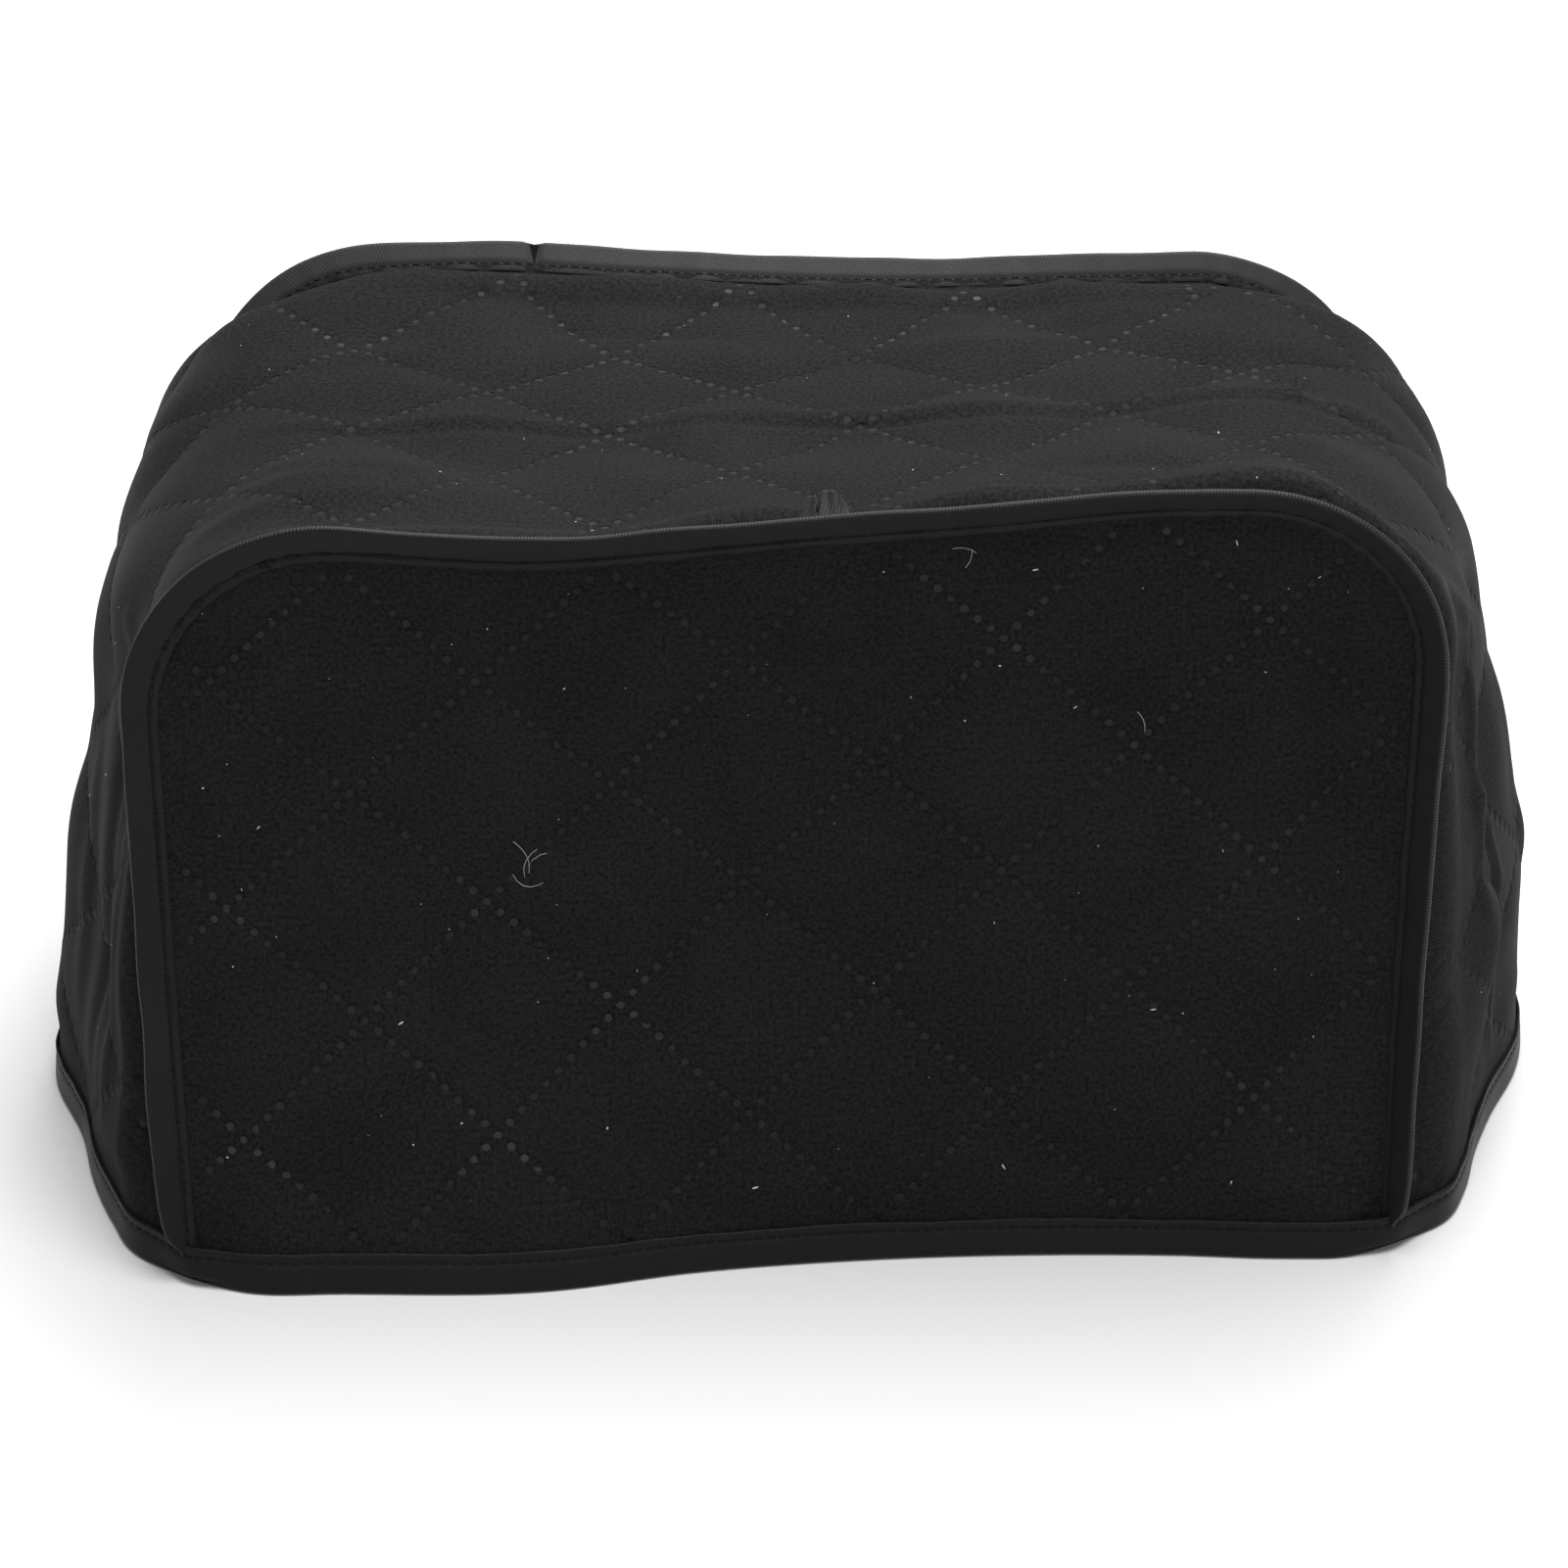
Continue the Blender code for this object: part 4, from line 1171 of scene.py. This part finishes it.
def make_seam_tape(at_back):
    """One seam's tape, a strip folded lengthwise round the turned-out allowances."""
    sizes = bpy.context.scene.toaster_cover
    side = SIDES[at_back]
    first = (SEAM_TAPE_START - HEM_LOW) / SEAM_LENGTH

    def place(u):
        return first + u * (1 - 2 * first)

    def surface(u, v):
        return seam_tape_surface(place(u), 2 * v - 1, at_back)

    def cloth(u, v):
        return place(u) * SEAM_LENGTH * MM, over_fold(2 * v - 1, SEAM_TAPE_WIDTH - BAND_LIP) * MM

    mesh, u, v = laid_grid(round(SEAM_LENGTH / TAPE_STEP), TAPE_ROWS, surface, {"cloth": cloth})
    node = f"{side}_seam_binding"
    piece = finish_piece(mesh, f"{side}_seam_tape", tape_material(), sizes.tape_thickness, [node])
    # Painted light: the back tape's face that tilts up to the overhead lamp is painted paler, more along the
    # top than down the sides
    top = between(place(u), 0.2, 0.8, 0.1)
    clear_of_lip = 1 - ease((v - PAINTED_LIGHT_END) / 0.08)
    painted_light = ease(10 * (v - PAINTED_LIGHT_START)) * clear_of_lip * (PAINTED_LIGHT_ON_SIDES + (1 - PAINTED_LIGHT_ON_SIDES) * top)
    add_mask(piece, "painted_light", at_back * painted_light)
    return piece


def make_tape_end():
    """The end of the front seam's tape: a small pleated fan behind the fold, split by a slit."""
    sizes = bpy.context.scene.toaster_cover
    middle, half_width, height, foot = FRONT_END
    up = unit(np.array([0.0, math.sin(END_DROOP), math.cos(END_DROOP)]))
    back = np.array([0.0, math.cos(END_DROOP), -math.sin(END_DROOP)])

    def surface(u, v):
        fan = 2 * u - 1
        seam = seam_at((middle + fan * half_width) / SEAM_LENGTH + 0.5, False)
        from_slit = fan - END_SLIT[0]
        rise = height * v * (1 - 0.45 * fan**2) * (1 - 0.8 * bump(from_slit, END_SLIT[1]) * v)
        sway = 0.5 * np.cos(2.6 * math.pi * from_slit) * v - 1.1 * fan**2
        root = seam.line + seam.flange * foot + seam.to_band * (LIP_HALF + 0.6)
        across = (-0.25 * fan * half_width * v)[:, None] * (1.0, 0.0, 0.0)
        return root + up * rise[:, None] - back * sway[:, None] + across

    def cloth(u, v):
        return (u * 2 - 1) * half_width * (0.6 + 0.4 * v) * MM, (1.5 + v * height) * MM

    mesh, u, _ = laid_grid(48, 16, surface, {"cloth": cloth})
    piece = finish_piece(mesh, "front_tape_end", tape_material(), sizes.tape_thickness)
    # Painted light: the tucked end is painted half as pale as the back tape's lit face
    add_mask(piece, "painted_light", np.full(len(u), 0.5))
    return piece


def make_hem_tape():
    """The hem's tape, one closed ring folded under the cloth's lower edge."""
    sizes = bpy.context.scene.toaster_cover
    path = hem_path(HEM_STATIONS)

    def surface(u, v):
        return hem_tape_surface(u, 2 * v - 1, path)

    def cloth(u, v):
        return u * path.length * MM, over_fold(2 * v - 1, HEM_TAPE_HEIGHT) * MM

    mesh, _, _ = laid_grid(HEM_STATIONS, TAPE_ROWS, surface, {"cloth": cloth})
    bmesh.ops.remove_doubles(mesh, verts=mesh.verts, dist=0.01 * MM)
    return finish_piece(mesh, "hem_tape", tape_material(), sizes.tape_thickness, ["hem_binding"])


def dot_places(from_lattice, spans):
    """Places of the weld dots on the flat cloth inside the given spans."""
    found = set()
    (low_x, high_x), (low_y, high_y) = spans
    reach = int((high_x - low_x + high_y - low_y) / QUILT_PITCH) + 3
    for line in range(-reach, reach + 1):
        for step in range(-reach * DOTS_A_SIDE, reach * DOTS_A_SIDE + 1):
            part = step / DOTS_A_SIDE
            found.add((float(line), part))
            found.add((part, float(line)))
    one, other = np.array(sorted(found)).T
    across, along = from_lattice(one, other)
    keep = (across > low_x) & (across < high_x) & (along > low_y) & (along < high_y)
    return across[keep], along[keep]


def facing(surface, across, along):
    """Places on a surface, the way that it runs there, and the way that it faces, which may be inwards."""
    centre = to_metres(surface(across, along))
    ahead = to_metres(surface(across + SHIFT, along)) - centre
    beside = to_metres(surface(across, along + SHIFT)) - centre
    return centre, ahead, np.cross(ahead, beside)


def dot_template(diameter):
    """One weld dot: a shallow dish whose rim runs down into the cloth."""
    mesh = bmesh.new()
    bmesh.ops.create_circle(mesh, cap_ends=True, cap_tris=True, segments=10, radius=diameter / 2)
    rim = [edge for edge in mesh.edges if edge.is_boundary]
    middle = [vert for vert in mesh.verts if not vert.is_boundary]
    for edge in rim:
        edge.smooth = False
    skirt = bmesh.ops.extrude_edge_only(mesh, edges=rim)["geom"]
    skirt = [part for part in skirt if isinstance(part, bmesh.types.BMVert)]
    bmesh.ops.scale(mesh, vec=(DOT_SKIRT_SHARE, DOT_SKIRT_SHARE, 1.0), verts=skirt)
    bmesh.ops.translate(mesh, vec=(0, 0, -DOT_SKIRT_DEPTH * MM), verts=skirt)
    bmesh.ops.translate(mesh, vec=(0, 0, -DOT_DISH_DEPTH * MM), verts=middle)
    bmesh.ops.recalc_face_normals(mesh, faces=mesh.faces)
    return as_template(mesh, "dot template")


def make_dots(name, cloth_name, places, surface, shine, dull, seed):
    """The weld dots of one piece of cloth, each set on the cloth as it lies."""
    sizes = bpy.context.scene.toaster_cover
    tree = surface_tree(cloth_name)
    across, along = places
    centre, ahead, hints = facing(surface, across, along)
    draw = random.Random(seed)
    strength = dull * (1 + 0.4 * uneven(across, along, seed, 40, 110))
    for x, y, radius, share in shine:
        strength = np.maximum(strength, share * bump(np.hypot(across - x, along - y), radius))
    matrices, pressed = [], []
    for point, hint, forward, share in zip(centre, hints, ahead, strength):
        place, normal = seated(tree, point, hint, sizes.cloth_thickness / 2 + DOT_ABOVE * MM)
        wide, long = (draw.uniform(0.88, 1.1) for _ in range(2))
        matrices.append(standing_on(place, normal, forward, (wide, long, 1.0)))
        pressed.append(min(1.0, max(0.0, share * draw.uniform(0.6, 1.3))))
    template = dot_template(sizes.dot_diameter)
    points = len(template.vertices)
    piece = finish_piece(joined_copies(template, matrices), name, dot_material())
    add_mask(piece, "pressed", np.repeat(pressed, points))
    return piece


def make_stitches(name, tape_name, lines):
    """A row of stitches for each line of points, with the direction in which each stitch faces."""
    sizes = bpy.context.scene.toaster_cover
    tree = surface_tree(tape_name)
    matrices = []
    for points, hints in lines:
        points = to_metres(points)
        run = run_along(points)
        stations = np.arange(0, run[-1], sizes.stitch_pitch)
        spots = read_path(stations, run, points)
        for spot, onward, hint in zip(spots[:-1], spots[1:], read_path(stations, run, hints)):
            place, normal = seated(tree, spot, hint, sizes.tape_thickness / 2 + STITCH_ABOVE * MM)
            matrices.append(standing_on(place, normal, onward - spot, (1.0, 1.0, 1.0)))
    mesh = bmesh.new()
    size = Matrix.Diagonal((sizes.stitch_length / 2, STITCH_HALF * MM, 0.8 * STITCH_HALF * MM, 1.0))
    bmesh.ops.create_uvsphere(mesh, u_segments=6, v_segments=4, radius=1.0, matrix=size)
    stitches = joined_copies(as_template(mesh, "stitch template"), matrices)
    return finish_piece(stitches, name, thread_material())


def seam_stitch_lines(at_back):
    """The stitch line on both legs of a seam's tape."""
    first = (HEM_TAPE_HEIGHT + 1.0 - HEM_LOW) / SEAM_LENGTH
    place = np.linspace(first, 1 - first, SEAM_SAMPLES)
    seam = seam_at(place, at_back)
    reach = BACK_STITCH_REACH if at_back else FRONT_STITCH_REACH
    lines = []
    for sign in (-1, 1):
        side = sign * (LIP_HALF - GROOVE_DEPTH)
        points = seam.line + seam.flange * reach + seam.to_band * side
        lines.append((points, sign * seam.to_band))
    return lines


def hem_stitch_lines():
    """The stitch line on both legs of the hem's tape."""
    path = hem_path(HEM_STATIONS)
    around = np.linspace(0, 1, HEM_STATIONS + 1)
    nose_top = HEM_NOSE_HEIGHT + TAPE_HALF
    leg = (HEM_STITCH_HEIGHT - nose_top) / (HEM_TAPE_HEIGHT - nose_top)
    t = HEM_NOSE_SHARE + leg * (1 - HEM_NOSE_SHARE)
    out = np.append(path.out, path.out[:1], 0)
    return [
        (hem_tape_surface(around, np.full(around.shape, sign * t), path), sign * out) for sign in (-1, 1)
    ]


def scattered(count, draw, spans, surface, cloth_name):
    """Random places on a piece of cloth, each with the way it faces and a random forward direction."""
    tree = surface_tree(cloth_name)
    above = bpy.context.scene.toaster_cover.cloth_thickness / 2 + LINT_ABOVE * MM
    across, along = (np.array([draw.uniform(low, high) for _ in range(count)]) for low, high in spans)
    centre, _, hints = facing(surface, across, along)
    return [
        (*seated(tree, point, hint, above), Vector([draw.uniform(-1, 1) for _ in range(3)]))
        for point, hint in zip(centre, hints)
    ]


def make_lint():
    """Specks of lint on the panels and the band."""
    whole_count = bpy.context.scene.toaster_cover.lint_count
    surfaces = (panel_places(False), panel_places(True), band_places)
    matrices = []
    for (cloth_name, share, spans, seed), surface in zip(LINT_FACES, surfaces):
        draw = random.Random(seed)
        count = round(whole_count * share)
        for place, normal, forward in scattered(count, draw, spans, surface, cloth_name):
            size = draw.choice(SPECK_SIZES) * MM
            long = draw.choice(SPECK_LENGTHS)
            matrices.append(standing_on(place, normal, forward, (size * long, size, 0.7 * size)))
    mesh = bmesh.new()
    bmesh.ops.create_icosphere(mesh, subdivisions=1, radius=1.0)
    specks = joined_copies(as_template(mesh, "speck template"), matrices)
    return finish_piece(specks, "lint", lint_material())


def make_hairs():
    """Loose hairs that lie on the front panel."""
    tree = surface_tree("front_panel_cloth")
    surface = panel_places(False)
    above = bpy.context.scene.toaster_cover.cloth_thickness / 2 + HAIR_ABOVE * MM
    joined = bmesh.new()
    for from_x, from_z, to_x, to_z, bend in FRONT_HAIRS:
        run = np.array([to_x - from_x, to_z - from_z])
        aside = np.array([-run[1], run[0]]) / np.linalg.norm(run)

        def strip(u, v):
            bow = (bend * 4 * u * (1 - u))[:, None] * aside
            wide = ((v - 0.5) * 2 * HAIR_HALF)[:, None] * aside
            flat = (from_x, from_z) + u[:, None] * run + bow + wide
            points = to_metres(surface(*flat.T))
            set_on = [seated(tree, point, (0, -1, 0), above)[0] for point in points]
            return np.array(set_on) / MM - CENTRING

        mesh, _, _ = laid_grid(12, 1, strip, {})
        data = as_template(mesh, "hair")
        joined.from_mesh(data)
        bpy.data.meshes.remove(data)
    return finish_piece(joined, "lint_hairs", lint_material(), HAIR_THICKNESS * MM)


def panel_places(at_back):
    """A panel's surface as a function of x and z."""
    relief = bpy.context.scene.toaster_cover.quilt_relief / MM
    return lambda x, z: panel_surface(x, z, at_back, relief)


def band_places(along, across):
    """The band's surface, along from the middle of the top and across from the front seam."""
    relief = bpy.context.scene.toaster_cover.quilt_relief / MM
    return band_surface(along / SEAM_LENGTH + 0.5, across, relief)


def make_floor(shade):
    """A wide pale floor that glows far from the cover, where the lights don't reach."""
    mesh = bmesh.new()
    bmesh.ops.create_grid(mesh, x_segments=1, y_segments=1, size=FLOOR_HALF)
    data = as_template(mesh, "floor")
    material, tree, shader = new_material("pale floor", 0.9)
    place = add_node(tree, "ShaderNodeTexCoord").outputs["Object"]
    mixed = blend_colours(tree, noise(tree, place, 3.0, 2.0), lighter(shade, 0.98), shade)
    tree.links.new(mixed, shader.inputs["Base Color"])
    away = add_node(tree, "ShaderNodeVectorMath", {0: place}, operation="LENGTH").outputs["Value"]
    glow = fade(tree, away, GLOW_START, GLOW_FULL, 0.0, GLOW_STRENGTH)
    tree.links.new(glow, shader.inputs["Emission Color"])
    shader.inputs["Emission Strength"].default_value = 1.0
    data.materials.append(material)
    return put_in_scene("floor", data)


class TOASTER_COVER_OT_panels(bpy.types.Operator):
    """Build the front and the back panel"""

    bl_idname = "toaster_cover.panels"
    bl_label = "Panels"

    def execute(self, context):
        for at_back in (False, True):
            piece = make_panel(at_back)
        return {"FINISHED"}


class TOASTER_COVER_OT_band(bpy.types.Operator):
    """Build the band that makes the sides and the top"""

    bl_idname = "toaster_cover.band"
    bl_label = "Band"

    def execute(self, context):
        piece = make_band()
        return {"FINISHED"}


class TOASTER_COVER_OT_tapes(bpy.types.Operator):
    """Build the seam tapes and the hem tape"""

    bl_idname = "toaster_cover.tapes"
    bl_label = "Tapes"

    def execute(self, context):
        front_tape = make_seam_tape(False)
        back_tape = make_seam_tape(True)
        tape_end = make_tape_end()
        hem = make_hem_tape()
        hem_cut = (2 * (HEM_TAPE_HEIGHT + TURNED_LIP) * MM, hem_path(HEM_STATIONS).length * MM)
        return {"FINISHED"}


class TOASTER_COVER_OT_dots(bpy.types.Operator):
    """Set the weld dots of the quilting on the cloth"""

    bl_idname = "toaster_cover.dots"
    bl_label = "Weld dots"

    def execute(self, context):
        lowest = HEM_TAPE_HEIGHT + DOT_CLEAR_OF_HEM
        panels = ((FRONT_QUILTING, FRONT_SHINE), (BACK_QUILTING, BACK_SHINE))
        for at_back, (quilting, shine) in enumerate(panels):
            x, z = dot_places(
                lambda one, other: from_panel_lattice(one, other, quilting),
                ((-HALF_WIDTH, HALF_WIDTH), (lowest, HEIGHT)),
            )
            inside = edge_distance(x, z) > DOT_CLEAR_OF_SEAM
            make_dots(
                f"{SIDES[at_back]}_dots", f"{SIDES[at_back]}_panel_cloth", (x[inside], z[inside]),
                panel_places(bool(at_back)), shine, PANEL_DULL, 51 + at_back,
            )
        reach = SEAM_LENGTH / 2 - lowest
        edges = (BAND_DOT_CLEAR, BAND_WIDTH - BAND_DOT_CLEAR)
        places = dot_places(from_band_lattice, ((-reach, reach), edges))
        make_dots("band_dots", "band_cloth", places, band_places, BAND_SHINE, BAND_DULL, 53)
        return {"FINISHED"}


class TOASTER_COVER_OT_stitches(bpy.types.Operator):
    """Sew the tapes on with rows of stitches"""

    bl_idname = "toaster_cover.stitches"
    bl_label = "Stitches"

    def execute(self, context):
        for at_back, side in enumerate(SIDES):
            make_stitches(f"{side}_seam_stitches", f"{side}_seam_tape", seam_stitch_lines(bool(at_back)))
        make_stitches("hem_stitches", "hem_tape", hem_stitch_lines())
        return {"FINISHED"}


class TOASTER_COVER_OT_lint(bpy.types.Operator):
    """Scatter lint over the cloth"""

    bl_idname = "toaster_cover.lint"
    bl_label = "Lint"

    def execute(self, context):
        make_lint()
        make_hairs()
        return {"FINISHED"}


class TOASTER_COVER_OT_stage(bpy.types.Operator):
    """Set up the floor, the lights, the white surroundings and the camera"""

    bl_idname = "toaster_cover.stage"
    bl_label = "Stage"

    def execute(self, context):
        scene = context.scene
        scene.view_settings.view_transform = "Standard"
        make_floor(tuple(scene.toaster_cover.floor_colour))
        for name, place, tilt, size, power in LIGHTS:
            lamp = bpy.data.lights.new(name, "AREA")
            lamp.shape = "RECTANGLE"
            lamp.size, lamp.size_y = size
            lamp.energy = power
            put_in_scene(name, lamp, place, tilt)
        world = bpy.data.worlds.new("studio")
        world.use_nodes = True
        background = world.node_tree.nodes["Background"]
        background.inputs["Color"].default_value = (1.0, 1.0, 1.0, 1.0)
        background.inputs["Strength"].default_value = WORLD_STRENGTH
        scene.world = world
        view = bpy.data.cameras.new("camera")
        view.sensor_width = CAMERA_SENSOR
        view.lens = CAMERA_LENS
        scene.camera = put_in_scene("camera", view, CAMERA_PLACE, (90 - CAMERA_DOWN, 0, 0))
        return {"FINISHED"}


class TOASTER_COVER_PT_panel(bpy.types.Panel):
    """Sizes, colours and buttons of the toaster cover"""

    bl_idname = "TOASTER_COVER_PT_panel"
    bl_label = "Toaster Cover"
    bl_space_type = "VIEW_3D"
    bl_region_type = "UI"
    bl_category = "Toaster Cover"

    def draw(self, context):
        for name in ToasterCoverSizes.__annotations__:
            self.layout.prop(context.scene.toaster_cover, name)
        for step in BUILD_ORDER:
            self.layout.operator(f"toaster_cover.{step}")


CLASSES = (
    ToasterCoverSizes,
    TOASTER_COVER_OT_panels,
    TOASTER_COVER_OT_band,
    TOASTER_COVER_OT_tapes,
    TOASTER_COVER_OT_dots,
    TOASTER_COVER_OT_stitches,
    TOASTER_COVER_OT_lint,
    TOASTER_COVER_OT_stage,
    TOASTER_COVER_PT_panel,
)


def register():
    for each in CLASSES:
        bpy.utils.register_class(each)
    bpy.types.Scene.toaster_cover = bpy.props.PointerProperty(type=ToasterCoverSizes)


def unregister():
    del bpy.types.Scene.toaster_cover
    for each in reversed(CLASSES):
        bpy.utils.unregister_class(each)


def main():
    for leftover in ("Cube", "Light", "Camera"):
        if leftover in bpy.data.objects:
            bpy.data.objects.remove(bpy.data.objects[leftover], do_unlink=True)
    register()
    for step in BUILD_ORDER:
        getattr(bpy.ops.toaster_cover, step)()


if __name__ == "__main__":
    main()
